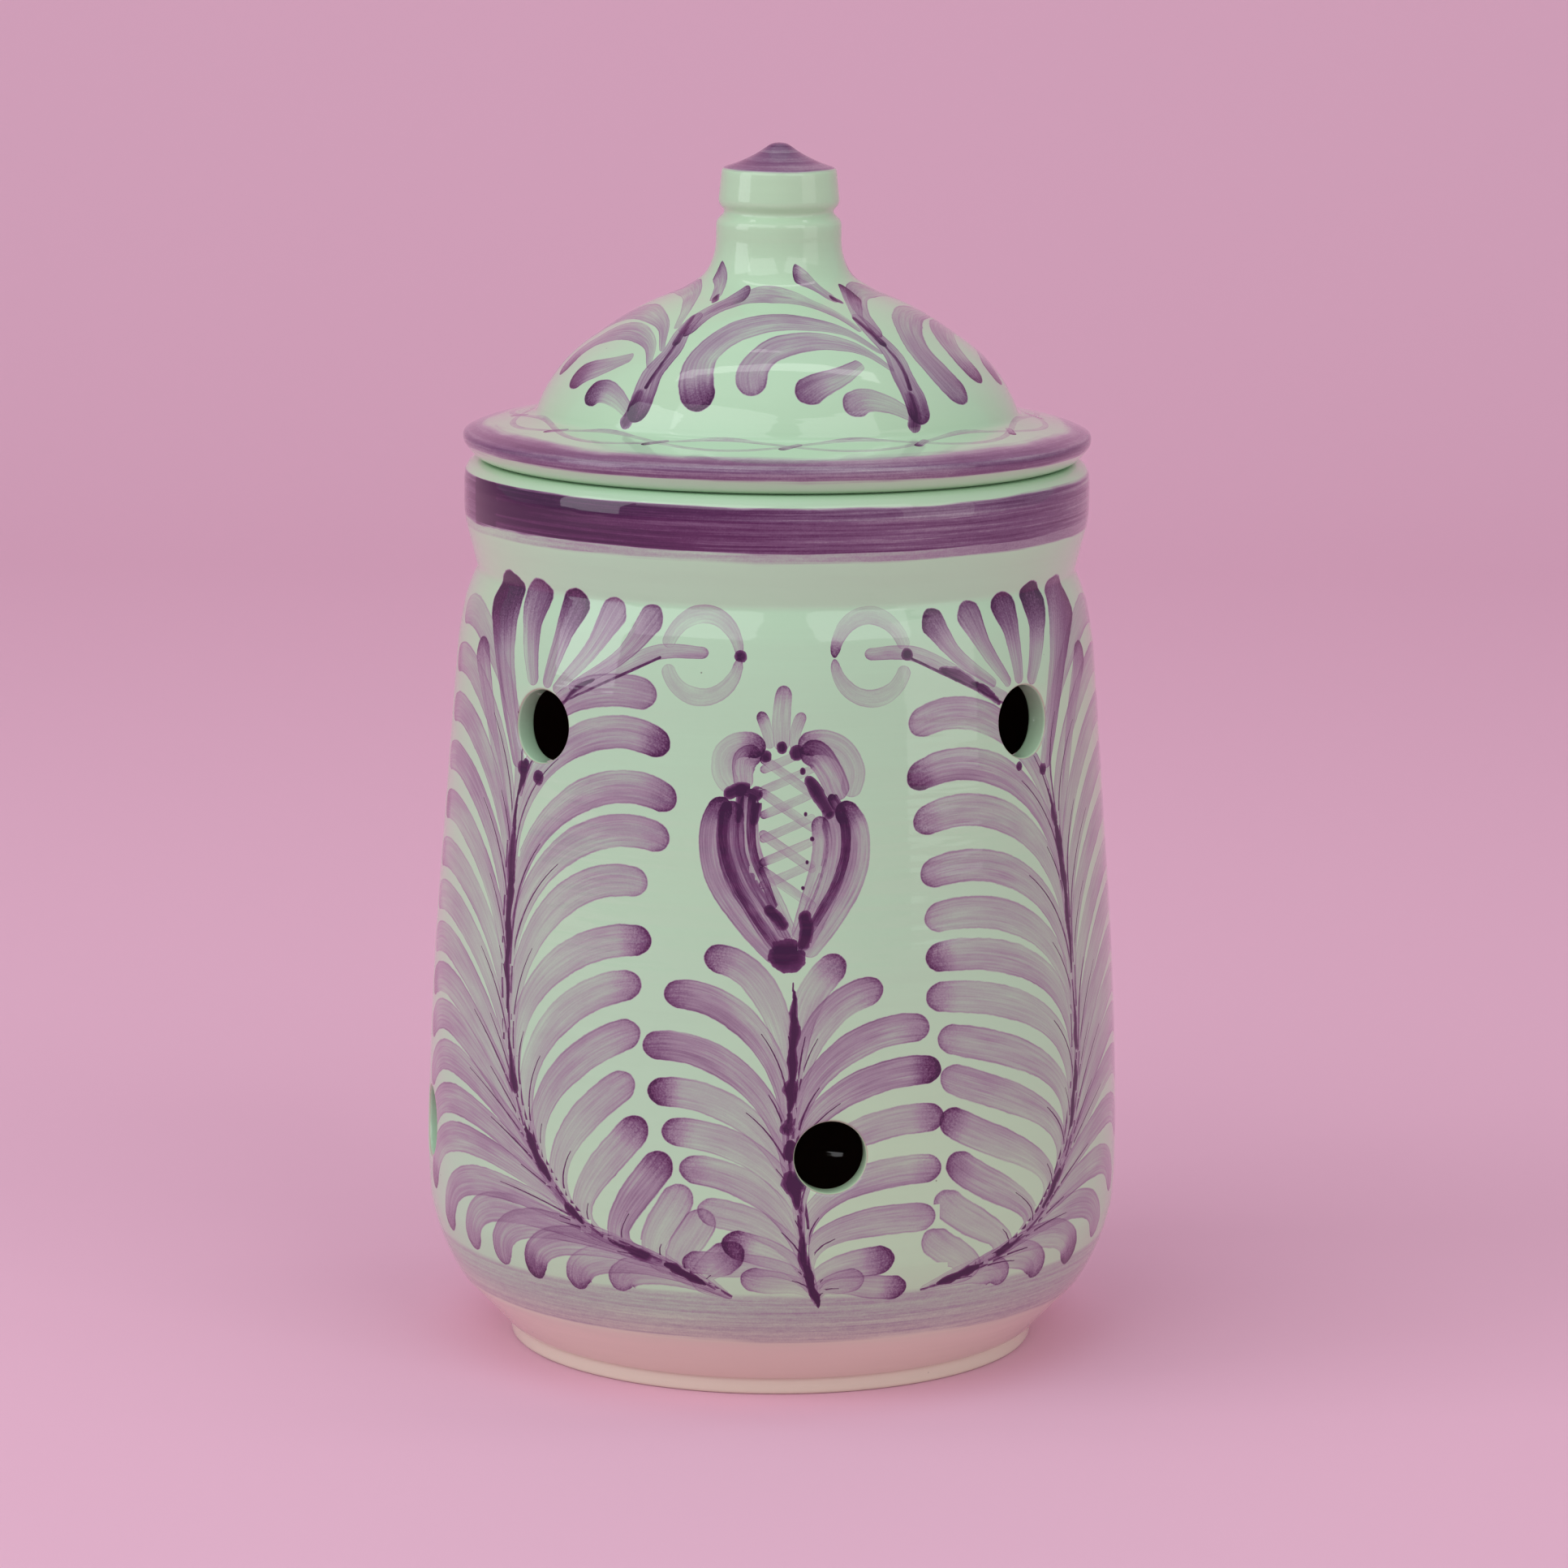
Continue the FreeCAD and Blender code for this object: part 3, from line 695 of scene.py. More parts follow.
def fruit():
    base = onWall([(2.4, 92)])[0]
    items = []

    def put(points, width, strength, shape=evenShape, count=24):
        items.append(stroke(throughPoints(base + np.array(points), count), width, strength, shape))

    # broad streaky lobes; each place is millimetres right of and above the dark base
    put([(-12.6, 30), (-14.7, 25.9), (-15.1, 20.6), (-13.8, 15), (-10.1, 9.3), (-5.2, 3.6), (-1, -1)],
         2.8, 0.42)
    put([(-11.2, 29.5), (-11.6, 24.7), (-11.2, 19.4), (-8.9, 13.8), (-5.2, 8.1), (0, 0)], 2.9, 0.56)
    put([(-7.6, 31), (-8.1, 26.7), (-7.6, 20.6), (-5.6, 15.4), (-2.7, 9.7), (0.4, 3.5)], 2.2, 0.36)
    put([(10.5, 29.1), (13.4, 25.1), (14, 20.2), (12.6, 14.2), (9.3, 8.5), (3, 0)], 2.7, 0.42)
    put([(8.7, 27.5), (9.9, 22.7), (9.3, 17.4), (7.2, 11.7), (2, 1)], 2.7, 0.34)
    put([(6.2, 26.7), (6.9, 21.5), (6.2, 16.6), (4.6, 11.3), (2, 3)], 2.0, 0.28)
    put([(-12.4, 29.5), (-12.9, 24.7), (-12.2, 19.4), (-10.4, 14.2), (-6.6, 8.1), (-1, 0)], 1.15, 0.64)
    put([(-7.2, 31), (-7.5, 25.7), (-6.8, 19.4), (-4.4, 13.8), (-2.6, 9)], 0.9, 0.62)
    put([(8.4, 31), (11.2, 26), (11.6, 20.2), (9.8, 14.2), (6.3, 8), (2, 1)], 1.0, 0.63)
    # long hair lines in the lobes
    put([(-13.2, 28), (-13.6, 20), (-12, 14), (-8.4, 8.8), (-3.6, 3)], 0.4, 0.58)
    put([(-10, 28), (-10, 20.5), (-8, 14.6), (-4.6, 9.4), (-1.6, 5)], 0.42, 0.6)
    put([(-6.4, 29), (-6.6, 21), (-4.8, 15), (-2, 9.6)], 0.34, 0.55)
    put([(9.4, 31), (12, 26), (12, 20), (10.2, 13.8), (5.4, 5.6)], 0.5, 0.58)
    put([(7, 28), (7.9, 21), (6.4, 14.4), (3.2, 7)], 0.3, 0.45)
    # round lobes
    put([(-5.4, 38.9), (-7.2, 40.5), (-10.1, 40.6), (-13, 38.6), (-13.2, 35.4), (-11, 31.8)], 2.5, 0.27)
    put([(-5.6, 38.5), (-8.6, 38.4), (-9, 32)], 2.2, 0.4)
    put([(2.3, 39.9), (4.8, 41), (8.1, 41), (11.6, 39), (13.4, 35.6), (12.4, 30.5)], 2.5, 0.27)
    put([(2.6, 38.9), (5.6, 38.9), (8.1, 36), (10.8, 30)], 2.8, 0.44)
    # crown
    put([(-0.8, 52), (-1.4, 47), (-1.4, 39.5)], 1.9, 0.27, [(0, 0.8), (0.2, 0.95), (0.6, 1), (1, 0.8)])
    put([(-5.8, 47), (-4.5, 43.7), (-3.6, 40)], 1.25, 0.25, [(0, 0.85), (0.2, 1), (1, 0.8)])
    put([(3, 46.8), (1.7, 44.1), (1, 40)], 1.25, 0.27, [(0, 0.85), (0.2, 1), (1, 0.8)])
    # net
    for z in (15.6, 20, 24.6, 29.2, 34, 38):
        put([(-5.6, z - 2.3), (0, z), (5.4, z + 2.3)], 0.9, 0.22)
    for z in (13, 20, 28, 34.5):
        put([(-5.6, z + 3.8), (0, z), (5.4, z - 3.7)], 0.95, 0.24)
    # base, pools and dots
    put([(-3.6, 0.4), (0, -0.2), (3.5, 0.5)], 3.4, 0.98, [(0, 0.9), (0.5, 1), (1, 0.9)])
    put([(-12.8, 30.6), (-9.7, 32.2), (-5.2, 30.6)], 1.3, 0.88)
    put([(-9.4, 33), (-9.7, 29.4), (-10.1, 25.4)], 1.2, 0.82, [(0, 1), (0.4, 0.8), (1, 0.62)])
    put([(-6.1, 32.6), (-6.3, 29), (-7, 25)], 1.4, 0.86, [(0, 1), (0.4, 0.85), (1, 0.62)])
    put([(3.8, 34.6), (6.2, 30.9), (8.9, 26.4)], 1.5, 0.88, [(0, 0.7), (0.4, 1), (1, 0.7)])
    put([(-4.4, 9.4), (-2.2, 7.4), (-0.2, 5)], 1.2, 0.86)
    put([(3.2, 8.6), (3.7, 5), (3, 1)], 1.4, 0.88)
    for x, z, width in [(-1.4, 40.1, 1.15), (-4.5, 38.4, 1.15), (1.7, 39.1, 1.55), (2.9, 35.6, 0.7),
                        (3.5, 27.3, 0.46), (4.8, 22.5, 0.45), (3.8, 18, 0.42), (3, 13, 0.4)]:
        put([(x, z + width), (x, z), (x, z - width)], width, 0.9, evenShape, 6)
    return items


# Lid

lidSizes = {
    "rowStep": 1.05,        # height of one row of faces where it shows
    "innerStep": 3.5,       # and inside
    "seat": 180.5,          # height at which the lid stands in the jar
    "flangeEdge": 59.8,     # the painted strip's heights are counted from here
    "repeats": 5,           # how often the design is painted around
    "unroll": 0.8,          # painted strip in millimetres per degree
}

lidOutline = [(0, 63.2, 0), (1.6, 63.0, 1.0), (4.6, 60.9, 2.5), (8.2, 59.2, 2.5), (11.5, 58.1, 0.8),
              (12.2, 51.2, 0.9), (10.7, 49.4, 0.9), (12.6, 47.6, 0.9), (12.6, 41.5, 4), (14.6, 36.6, 3.5),
              (19.8, 33.5, 5),
              *[(r, z, 0) for r, z, _ in reversed(arcPoints((36.4, 24.5), (19.8, 33.5), 60, 8)[:-1])],
              (36.4, 24.5, 0),
              *[(r, z, 0) for r, z, _ in reversed(arcPoints((48.7, 9.0), (36.4, 24.5), 29, 10)[:-1])],
              (48.7, 9.0, 2.2), (60.4, 6.4, 1.8), (63.2, 5.2, 1.5), (63.2, 3.6, 1.2), (61.2, 0.9, 1.4),
              (59.2, 0, 1.0), (52.8, 0, 0.6), (52.8, -9, 0.9), (48.2, -9, 0.9), (48.2, 3.8, 1.5),
              (32.8, 20.3, 2), (19.8, 28.3, 2), (0, 28.3, 0)]


def makeLid():
    rows = divide(soften(lidOutline), lidSizes["rowStep"])
    under = np.nonzero(rows[:, 1] < 0)[0][0]
    visible, hidden = rows[:under], rows[under - 1:]
    everyOther = np.r_[0, np.arange(1, len(hidden) - 1, 2), len(hidden) - 1]
    rows = np.vstack([visible, divide(hidden[everyOther], lidSizes["innerStep"])[1:]])[1:-1]
    outerCount, rowCount = len(visible) - 1, len(rows)
    seatRow = int(np.argmin(np.hypot(rows[:outerCount, 0] - lidSizes["flangeEdge"], rows[:outerCount, 1])))
    length = lengthAlong(rows)
    upward = length[seatRow] - length
    rows = rows + (0, lidSizes["seat"])
    angle = np.tile(np.arange(columns, dtype=float) - 180, (rowCount, 1))
    turn, radius, height = np.radians(angle), rows[:, :1], np.tile(rows[:, 1:], (1, columns))
    upward = np.tile(upward[:, None], (1, columns))
    quadRows, quads = gridQuads(np.ones((rowCount - 1, columns), bool))
    shell = {
        "points": np.stack([radius * np.sin(turn), -radius * np.cos(turn), height], -1).reshape(-1, 3),
        "plane": np.stack([angle * lidSizes["unroll"], upward], -1).reshape(-1, 2),
        "share": np.repeat((np.arange(rowCount) < outerCount).astype(float), columns),
        "quads": quads, "painted": quadRows < outerCount - 1,
    }
    poleHeights = (lidSizes["seat"] + lidOutline[0][1], rows[-1, 1])
    return finishShell("keeper_lid", shell, rowCount, poleHeights, 360 * lidSizes["unroll"])


def lidDesign():
    # places are degrees, and millimetres along the lid's outline up from the flange's edge
    scale = (lidSizes["unroll"], 1)
    tapered = [(0, 0.5), (0.15, 0.9), (0.5, 1), (0.85, 0.6), (1, 0.3)]
    items = []
    for number in range(lidSizes["repeats"]):
        turn = 360 / lidSizes["repeats"] * (number - 2)

        def put(points, width, strength, shape=leafShape, count=30):
            placed = (np.array(points, float) + (turn, 0)) * scale
            items.append(stroke(throughPoints(placed, count), width, strength, shape))

        put([(-18.5, 27.5), (-22, 33.8), (-23, 40), (-18, 46.8), (-6, 51), (11.5, 51.2), (26.5, 47.5),
             (34, 41)], 3.9, 0.38)
        put([(-6, 31), (-7, 36.5), (-3, 42), (6.5, 45), (18, 45), (28, 42), (34, 36)], 3.5, 0.36)
        put([(-34, 46), (-31, 55), (-20.5, 60.5), (-0.5, 62), (17.5, 59), (27.5, 53.5), (32, 48)], 3.0,
             0.34, tapered)
        put([(5.5, 30.2), (10, 32.8), (17, 35.2), (25, 38.5)], 3.4, 0.42, petalShape)
        put([(17, 27.5), (22, 29.5), (28, 28.5), (34.5, 25.4)], 3.0, 0.3, petalShape)
        put([(53, 63.5), (43, 58.5), (35.5, 52), (35, 47)], 3.2, 0.42, petalShape)
        put([(36, 24), (36.5, 28.5), (36, 34.5), (37.5, 41.2), (36, 47.2), (35.5, 54)], 2.8, 0.5,
             evenShape)
        put([(33.5, 22.4), (34.8, 26), (35.2, 31)], 1.5, 0.68, evenShape, 12)
        put([(37, 43), (35.6, 48), (33.5, 53)], 1.1, 0.66, evenShape, 12)
        put([(36.2, 31), (37.4, 38), (37, 44)], 0.6, 0.66, evenShape, 12)
        put([(12, 68.4), (26.5, 65), (35, 59.6)], 2.3, 0.42, evenShape, 16)
        put([(32, 61.2), (34, 60.2), (37, 58.6)], 1.2, 0.74, evenShape, 6)
    # two thin wavy lines on the flange, with a dash at all of their crossings but one
    waves = np.arange(-190, 191, 2.0)
    for side in (1, -1):
        height = 18.4 + side * 2.9 * np.sin(np.radians((waves + 27) * 6))
        items.append(stroke(np.c_[waves, height] * scale, 0.6, 0.26, [(0, 1), (1, 1)]))
    for middle in range(-177, 124, 30):
        line = np.array([(middle - 2.4, 16.6), (middle + 2.4, 19.8)]) * scale
        items.append(stroke(line, 0.8, 0.5, evenShape))
    return items


# Materials


def linear(red, green, blue):
    return tuple((c / 255 / 12.92 if c / 255 <= 0.04045 else ((c / 255 + 0.055) / 1.055) ** 2.4)
                 for c in (red, green, blue)) + (1.0,)


glazeColours = {
    "mint": linear(184, 220, 186), "leaf": linear(190, 220, 184), "cream": linear(230, 220, 200),
    "wash": linear(160, 142, 157), "middle": linear(122, 86, 120), "dark": linear(88, 36, 84),
    "deep": linear(56, 0, 58), "clay": linear(104, 66, 56), "rim": linear(186, 150, 140),
    "speck": linear(90, 70, 70),
}

strokeLook = {
    "firstTouch": 0.9,                  # length of the rounded start, in half widths
    "tail": 0.25, "roundTail": 0.45,    # length of the tail's rounding, and what a round end has more
    "edge": (0.94, 1.04),               # where the paint ends, in half widths
    "ragged": (420, 0.14, 0.5),         # scale and depth of the uneven edge, and what dark marks have more
    "hairs": (3.4, 0.10, 3.7),          # how often hairs come across, along and from stroke to stroke
    "pools": (0.5, 0.16, 5.3),          # and the same for the slow changes
    "hairContrast": 1.7,
    "lean": 0.6,                        # how much one side of the brush may be fuller
    "grain": (2600, 0.07),
    "least": 0.02,
}
glazeLook = {
    "overlap": 0.32,                    # how much of the paler stroke adds where two cross
    "bandOverlap": 0.25,
    "wobble": 0.0022, "fray": 0.0016,   # how far the bands' edges stray, in metres
    "bandGrain": 0.16,
    # X where the collar band is laid double and how much darker it is, then where it is thin just before
    "seam": (-0.0599, -0.0594, -0.0557, -0.0550, 0.26),
    "beforeSeam": (-0.0600, -0.0594, 0.3),
    "wash": 0.28, "middle": 0.48, "dark": 0.7, "deep": 0.95,    # amounts of paint that give these colours
    "creamHeight": (0.010, 0.022),
    "speckScale": 150, "speckShare": 0.55,
    "roughness": 0.4, "ior": 1.5, "specular": 0.12,
    "coat": 1.0, "coatRoughness": 0.035, "coatIor": 1.45,
    "bumpStrength": 0.5, "bumpDepth": 0.0006,
}


def nodeTools(tree):
    # short ways to add the nodes of one tree and link them
    nodes, links = tree.nodes, tree.links

    def feed(socket, value):
        if isinstance(value, (int, float, tuple)):
            socket.default_value = value
        else:
            links.new(value, socket)

    def calc(kind, *values, clamp=False):
        node = nodes.new("ShaderNodeMath")
        node.operation = kind
        node.use_clamp = clamp
        for socket, value in zip(node.inputs, values):
            feed(socket, value)
        return node.outputs[0]

    def plus(a, b):
        return calc("ADD", a, b)

    def minus(a, b):
        return calc("SUBTRACT", a, b)

    def times(a, b):
        return calc("MULTIPLY", a, b)

    def timesPlus(a, b, c):
        return calc("MULTIPLY_ADD", a, b, c)

    def ramp(value, low, high, first=0.0, last=1.0):
        node = nodes.new("ShaderNodeMapRange")
        node.interpolation_type = "SMOOTHSTEP"
        names = ("Value", "From Min", "From Max", "To Min", "To Max")
        for name, number in zip(names, (value, low, high, first, last)):
            feed(node.inputs[name], number)
        return node.outputs["Result"]

    def noise(vector, scale, detail, roughness=0.5):
        node = nodes.new("ShaderNodeTexNoise")
        names = ("Vector", "Scale", "Detail", "Roughness")
        for name, value in zip(names, (vector, scale, detail, roughness)):
            feed(node.inputs[name], value)
        return node.outputs["Fac"]

    return feed, calc, plus, minus, times, timesPlus, ramp, noise


def makeStrokeGroup():
    group = bpy.data.node_groups.new("brushStroke", "ShaderNodeTree")
    for name, kind in (("Field", "Color"), ("Mark", "Float"), ("Place", "Vector")):
        group.interface.new_socket(name, in_out="INPUT", socket_type="NodeSocket" + kind)
    group.interface.new_socket("Paint", in_out="OUTPUT", socket_type="NodeSocketFloat")
    source, target = group.nodes.new("NodeGroupInput"), group.nodes.new("NodeGroupOutput")
    feed, calc, plus, minus, times, timesPlus, ramp, noise = nodeTools(group)
    split = group.nodes.new("ShaderNodeSeparateColor")
    feed(split.inputs[0], source.outputs["Field"])
    across, place, signedLength = split.outputs
    mark, spot = source.outputs["Mark"], source.outputs["Place"]

    def brushNoise(stretch, *look):
        # noise that runs along the stroke and differs from stroke to stroke
        join = group.nodes.new("ShaderNodeCombineXYZ")
        for socket, value, factor in zip(join.inputs, (across, place, seed), stretch):
            feed(socket, times(value, factor))
        return minus(noise(join.outputs[0], *look), 0.5)

    # a length below zero marks a round end
    length = calc("ABSOLUTE", signedLength)
    roundEnd = calc("LESS_THAN", signedLength, 0.0)
    seed, strength = calc("FLOOR", mark), calc("FRACT", mark)
    heavy = ramp(strength, 0.6, 0.7)
    # distance from the middle, where 1 is the edge of the paint
    tipCap = calc("MAXIMUM", minus(strokeLook["firstTouch"], place), 0.0)
    endCap = timesPlus(roundEnd, strokeLook["roundTail"], strokeLook["tail"])
    tailCap = calc("MAXIMUM", calc("DIVIDE", minus(place, minus(length, endCap)), endCap), 0.0)
    square = plus(times(across, across), plus(times(tipCap, tipCap), times(tailCap, tailCap)))
    scale, ragged, raggedMore = strokeLook["ragged"]
    unevenness = times(minus(noise(spot, scale, 3, 0.55), 0.5), timesPlus(heavy, raggedMore, ragged))
    reach = plus(calc("SQRT", square), unevenness)
    mask = ramp(reach, *strokeLook["edge"], 1.0, 0.0)
    hairs = brushNoise(strokeLook["hairs"], 2.2, 5, 0.65)
    pools = brushNoise(strokeLook["pools"], 1.4, 2)
    grainScale, grainShare = strokeLook["grain"]
    grain = minus(noise(spot, grainScale, 2, 0.7), 0.5)
    # darker where the loaded brush first touched, and a thin settled edge
    tipShare = calc("FRACT", times(seed, 0.371))
    tipDepth = plus(timesPlus(times(tipShare, tipShare), 0.38, 0.03), ramp(strength, 0.25, 0.31, 0.0, 0.17))
    tip = times(ramp(place, 0.2, 2.4, 1.0, 0.0), tipDepth)
    tipRim = times(ramp(place, 0.3, 1.3, 1.0, 0.0), ramp(reach, 0.45, 0.95))
    tip = plus(tip, times(tipRim, timesPlus(tipShare, 0.16, 0.07)))
    tip = times(tip, plus(1.0, times(grain, 1.9)))
    edge = times(ramp(reach, 0.83, 0.95), timesPlus(pools, 0.16, 0.085))
    # stronger strokes show their hairs more, some lean on one side of the brush, and all fade along the way
    contrast = times(strength, timesPlus(hairs, strokeLook["hairContrast"], pools))
    lean = minus(calc("FRACT", times(seed, 0.618)), 0.5)
    contrast = plus(contrast, times(strength, times(across, times(lean, strokeLook["lean"]))))
    fade = ramp(calc("DIVIDE", place, length), 0.1, 0.8, 1.06, 0.8)
    contrast = plus(contrast, times(strength, minus(fade, 1.0)))
    # dark marks are nearly even, and paler at their edge
    contrast = times(contrast, ramp(strength, 0.6, 0.96, 1.0, 0.15))
    contrast = minus(contrast, times(heavy, ramp(reach, 0.3, 1.0, 0.0, 0.34)))
    body = plus(plus(strength, contrast), times(minus(1.0, heavy), plus(tip, edge)))
    body = plus(body, times(grain, grainShare))
    feed(target.inputs["Paint"], times(calc("MAXIMUM", body, strokeLook["least"]), mask))
    return group


def makeGlaze(name, bands, strokeGroup):
    material = bpy.data.materials.new(name)
    material.use_nodes = True
    nodes = material.node_tree.nodes
    feed, calc, plus, minus, times, timesPlus, ramp, plainNoise = nodeTools(material.node_tree)
    place = nodes.new("ShaderNodeTexCoord").outputs["Object"]

    def noise(stretch, *look):
        mapping = nodes.new("ShaderNodeMapping")
        feed(mapping.inputs["Vector"], place)
        feed(mapping.inputs["Scale"], stretch)
        return plainNoise(mapping.outputs["Vector"], *look)

    def swing(stretch, *look):
        return minus(noise(stretch, *look), 0.5)

    def mix(share, first, second):
        node = nodes.new("ShaderNodeMix")
        node.data_type = "RGBA"
        for number, value in ((0, share), (6, first), (7, second)):
            feed(node.inputs[number], value)
        return node.outputs[2]

    def lay(below, above, overlap):
        # the darker of two coats counts in full, the paler one in part
        return timesPlus(calc("MINIMUM", below, above), overlap, calc("MAXIMUM", below, above))

    split = nodes.new("ShaderNodeSeparateXYZ")
    feed(split.inputs[0], place)
    x, y, height = split.outputs
    outside = nodes.new("ShaderNodeAttribute")
    outside.attribute_name = "outside"
    side = outside.outputs["Fac"]

    # strokes
    total = None
    for number in range(brush["layers"]):
        field = nodes.new("ShaderNodeAttribute")
        field.attribute_name = f"paint{number}"
        layer = nodes.new("ShaderNodeGroup")
        layer.node_tree = strokeGroup
        feed(layer.inputs["Field"], field.outputs["Color"])
        feed(layer.inputs["Mark"], field.outputs["Alpha"])
        feed(layer.inputs["Place"], place)
        amount = layer.outputs["Paint"]
        total = amount if total is None else lay(total, amount, glazeLook["overlap"])

    # bands; the collar band starts and ends at one place, where it is laid double
    start, startFull, endFull, end, extra = glazeLook["seam"]
    thinStart, thinEnd, thin = glazeLook["beforeSeam"]
    seam = times(ramp(x, start, startFull), ramp(x, endFull, end, 1.0, 0.0))
    seam = minus(times(seam, extra), ramp(x, thinStart, thinEnd, thin, 0.0))
    seam = times(seam, ramp(y, -0.004, 0.004, 1.0, 0.0))
    wobble = times(swing((1, 1, 1), 26, 3), glazeLook["wobble"])
    hairs = swing((6, 6, 420), 3.2, 5, 0.68)
    slow = swing((1, 1, 2), 16, 2)
    grain = swing((1, 1, 1), 2600, 2, 0.7)
    weave = swing((1, 1, 4), 420, 3, 0.6)
    level = plus(plus(height, wobble), times(hairs, glazeLook["fray"]))
    for band in bands:
        half = band["soft"] / 2
        low, high = band["edges"]
        mask = times(ramp(level, low - half, low + half), ramp(level, high - half, high + half, 1.0, 0.0))
        body = plus(band["strength"], timesPlus(hairs, band["hairs"], times(slow, band["slow"])))
        body = timesPlus(x, -band["drift"], body)
        if band["seam"]:
            body = plus(body, seam)
        body = plus(body, times(plus(grain, weave), glazeLook["bandGrain"]))
        amount = times(times(calc("MAXIMUM", body, 0.05), mask), calc("MAXIMUM", side, 0.0))
        total = lay(total, amount, glazeLook["bandOverlap"])

    # paint colour by amount, on a ground of glaze and bare clay, with small specks
    colour = nodes.new("ShaderNodeValToRGB")
    feed(colour.inputs["Fac"], total)
    stops = colour.color_ramp.elements
    stops[0].position, stops[0].color = glazeLook["wash"], glazeColours["wash"]
    stops[1].position, stops[1].color = glazeLook["deep"], glazeColours["deep"]
    for key in ("middle", "dark"):
        stops.new(glazeLook[key]).color = glazeColours[key]
    ground = mix(ramp(noise((1, 1, 1), 9, 2), 0.35, 0.7), glazeColours["mint"], glazeColours["leaf"])
    if name == "jarGlaze":
        ground = mix(ramp(level, *glazeLook["creamHeight"], 1.0, 0.0), ground, glazeColours["cream"])
        ground = mix(ramp(side, -0.95, -0.1, 1.0, 0.0), ground, glazeColours["clay"])
        ventRim = times(ramp(side, 0.02, 0.45), ramp(side, 0.5, 0.98, 0.6, 0.0))
        ground = mix(ventRim, ground, glazeColours["rim"])
    cover = calc("MULTIPLY", total, 1 / glazeLook["wash"], clamp=True)
    dots = nodes.new("ShaderNodeTexVoronoi")
    feed(dots.inputs["Vector"], place)
    feed(dots.inputs["Scale"], glazeLook["speckScale"])
    feed(dots.inputs["Randomness"], 1.0)
    pick = nodes.new("ShaderNodeSeparateColor")
    feed(pick.inputs[0], dots.outputs["Color"])
    speck = ramp(dots.outputs["Distance"], 0.02, 0.036, 1.0, 0.0)
    speck = times(speck, times(ramp(pick.outputs[0], 0.72, 0.8), glazeLook["speckShare"]))
    surface = mix(speck, mix(cover, ground, colour.outputs["Color"]), glazeColours["speck"])

    # a waved glaze under a glossy coat
    waves = plus(times(noise((1, 1, 5), 22, 3), 0.8), times(noise((0.4, 0.4, 60), 6, 2), 0.22))
    waves = plus(waves, times(noise((1, 1, 1), 260, 2), 0.035))
    bump = nodes.new("ShaderNodeBump")
    feed(bump.inputs["Strength"], glazeLook["bumpStrength"])
    feed(bump.inputs["Distance"], glazeLook["bumpDepth"])
    feed(bump.inputs["Height"], waves)
    shader = nodes["Principled BSDF"]
    for key, value in (("Base Color", surface), ("Roughness", glazeLook["roughness"]),
                       ("IOR", glazeLook["ior"]),
                       ("Specular IOR Level", glazeLook["specular"]), ("Coat Weight", glazeLook["coat"]),
                       ("Coat Roughness", glazeLook["coatRoughness"]), ("Coat IOR", glazeLook["coatIor"]),
                       ("Normal", bump.outputs["Normal"]), ("Coat Normal", bump.outputs["Normal"])):
        feed(shader.inputs[key], value)
    return material


# painted bands: heights of the edges and their softness in metres, strength of the paint, shares of hairs
# and of slow changes, and drift, by which a band gets lighter towards +X per metre
jarBands = [
    {"edges": (0.1695, 0.1782), "soft": 0.0006, "strength": 0.6,
     "hairs": 1.15, "slow": 0.8, "drift": 4.9, "seam": True},
    {"edges": (0.1677, 0.1696), "soft": 0.0007, "strength": 0.2,
     "hairs": 0.35, "slow": 0.5, "drift": -1.5, "seam": False},
    {"edges": (0.0139, 0.0240), "soft": 0.0012, "strength": 0.16,
     "hairs": 0.45, "slow": 0.2, "drift": 0.0, "seam": False},
]
lidBands = [
    {"edges": (0.1834, 0.1872), "soft": 0.0009, "strength": 0.42,
     "hairs": 0.8, "slow": 0.6, "drift": 0.0, "seam": False},
    {"edges": (0.2384, 0.2450), "soft": 0.0006, "strength": 0.56,
     "hairs": 0.9, "slow": 0.9, "drift": 0.0, "seam": False},
]

strokeGroup = makeStrokeGroup()
finishedJar = makeJar()
jar = finishedJar[0]
print("jar mesh", len(jar.data.polygons))
paintPiece(finishedJar, jarDesign(), 180 * unroll, makeGlaze("jarGlaze", jarBands, strokeGroup))
print("jar painted")

finishedLid = makeLid()
lid = finishedLid[0]
print("lid mesh", len(lid.data.polygons))
paintPiece(finishedLid, lidDesign(), 360 * lidSizes["unroll"], makeGlaze("lidGlaze", lidBands, strokeGroup))
print("lid painted")

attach(jar, "jar")
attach(lid, "lid")
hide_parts("jar")
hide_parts("lid")

# Floor and backdrop: one plain curved sheet

backdropSizes = {
    "front": -2.2, "back": 1.1, "bend": 0.9, "bendSteps": 18, "top": 3.2, "half": 3.0,
    "colour": linear(238, 188, 211), "roughness": 0.9,
}


def makeBackdrop():
    bend, back, steps = backdropSizes["bend"], backdropSizes["back"], backdropSizes["bendSteps"]
    side = [(backdropSizes["front"], 0.0), (back, 0.0)]
    for step in range(1, steps + 1):
        turn = math.radians(90 * step / steps)
        side.append((back + bend * math.sin(turn), bend * (1 - math.cos(turn))))
    side.append((back + bend, backdropSizes["top"]))
    vertices = np.array([(x, y, z) for y, z in side for x in (-backdropSizes["half"], backdropSizes["half"])])
    faces = [(2 * k, 2 * k + 1, 2 * k + 3, 2 * k + 2) for k in range(len(side) - 1)]
    sheet = addMesh("backdrop", vertices, faces)
    material = bpy.data.materials.new("backdropPaper")
    material.use_nodes = True
    shader = material.node_tree.nodes["Principled BSDF"]
    shader.inputs["Base Color"].default_value = backdropSizes["colour"]
    shader.inputs["Roughness"].default_value = backdropSizes["roughness"]
    sheet.data.materials.append(material)
    return sheet


makeBackdrop()
print("backdrop made")

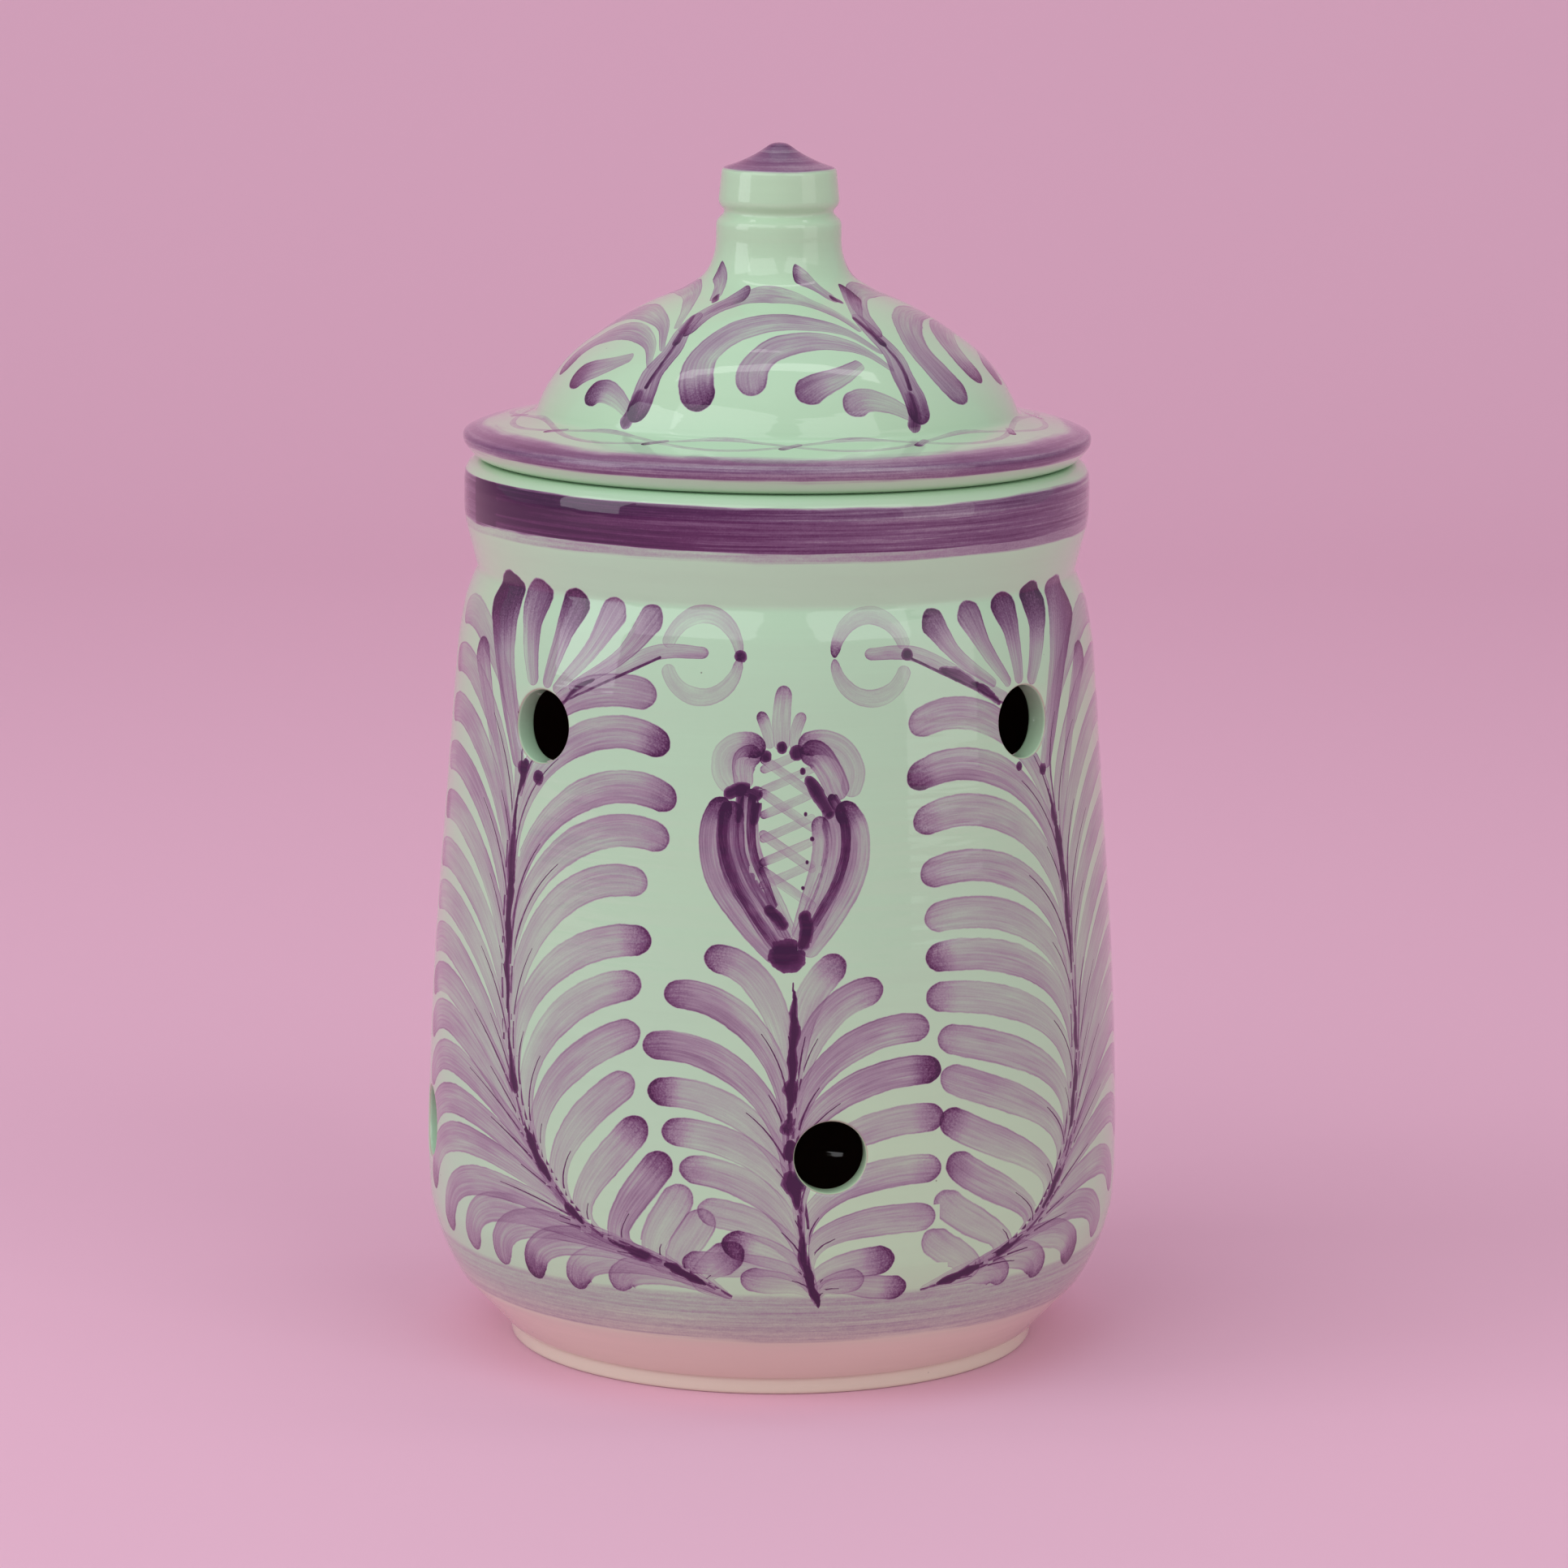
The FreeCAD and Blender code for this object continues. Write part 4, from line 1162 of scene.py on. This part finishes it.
# Light: two soft lamps above the viewer, a weak one overhead, a tall one at the left, a fill at the right,
# and a glow on the backdrop. Each has its place, aim, size, power and colour.

lights = {
    "leftTop": ((-0.8, -1.3, 1.35), (0, 0, 0.14), (1.5, 1.1), 8.8, (0.97, 0.985, 1.0)),
    "rightTop": ((0.9, -1.35, 1.25), (0, 0, 0.14), (1.2, 1.0), 6.1, (0.97, 0.985, 1.0)),
    "overhead": ((-0.1, 0.1, 1.7), (0, 0, 0.12), (1.6, 1.4), 1.2, (1.0, 0.985, 0.97)),
    "leftWindow": ((-1.45, -0.5, 0.75), (0, 0, 0.12), (0.8, 1.3), 7.2, (0.93, 0.96, 1.0)),
    "rightFill": ((1.6, -0.9, 0.6), (0, 0, 0.12), (1.0, 1.2), 3.8, (1.0, 0.97, 0.95)),
    "backGlow": ((0, 0.2, 2.0), (0, 2.0, 0.7), (2.0, 0.5), 7.5, (1.0, 0.97, 1.0)),
}
for name, (spot, aim, size, power, colour) in lights.items():
    lamp = bpy.data.lights.new(name, "AREA")
    lamp.shape = "RECTANGLE"
    lamp.size, lamp.size_y = size
    lamp.energy = power
    lamp.color = colour
    holder = bpy.data.objects.new(name, lamp)
    bpy.context.collection.objects.link(holder)
    holder.location = spot
    holder.rotation_mode = "QUATERNION"
    holder.rotation_quaternion = (Vector(spot) - Vector(aim)).to_track_quat("Z", "Y")

roomLight = {"colour": (0.93, 0.94, 1.0, 1), "strength": 0.4}
world = bpy.data.worlds.new("softRoom")
bpy.context.scene.world = world
world.use_nodes = True
background = world.node_tree.nodes["Background"]
background.inputs["Color"].default_value = roomLight["colour"]
background.inputs["Strength"].default_value = roomLight["strength"]

# Camera, fitted to the photograph's view: place in metres, angles in radians, lens and sensor in millimetres

cameraView = {
    "place": (0.00192, -1.25, 0.33622), "down": 0.176341, "roll": 0.007877,
    "lens": 143.3, "sensor": 36,
}
camera = bpy.data.objects.new("camera", bpy.data.cameras.new("camera"))
bpy.context.collection.objects.link(camera)
camera.matrix_world = (Matrix.Translation(cameraView["place"])
                       @ Matrix.Rotation(math.pi / 2 - cameraView["down"], 4, "X")
                       @ Matrix.Rotation(cameraView["roll"], 4, "Z"))
camera.data.sensor_width = cameraView["sensor"]
camera.data.lens = cameraView["lens"]
bpy.context.scene.camera = camera
bpy.context.scene.view_settings.view_transform = "Standard"
print("room lit, camera placed")
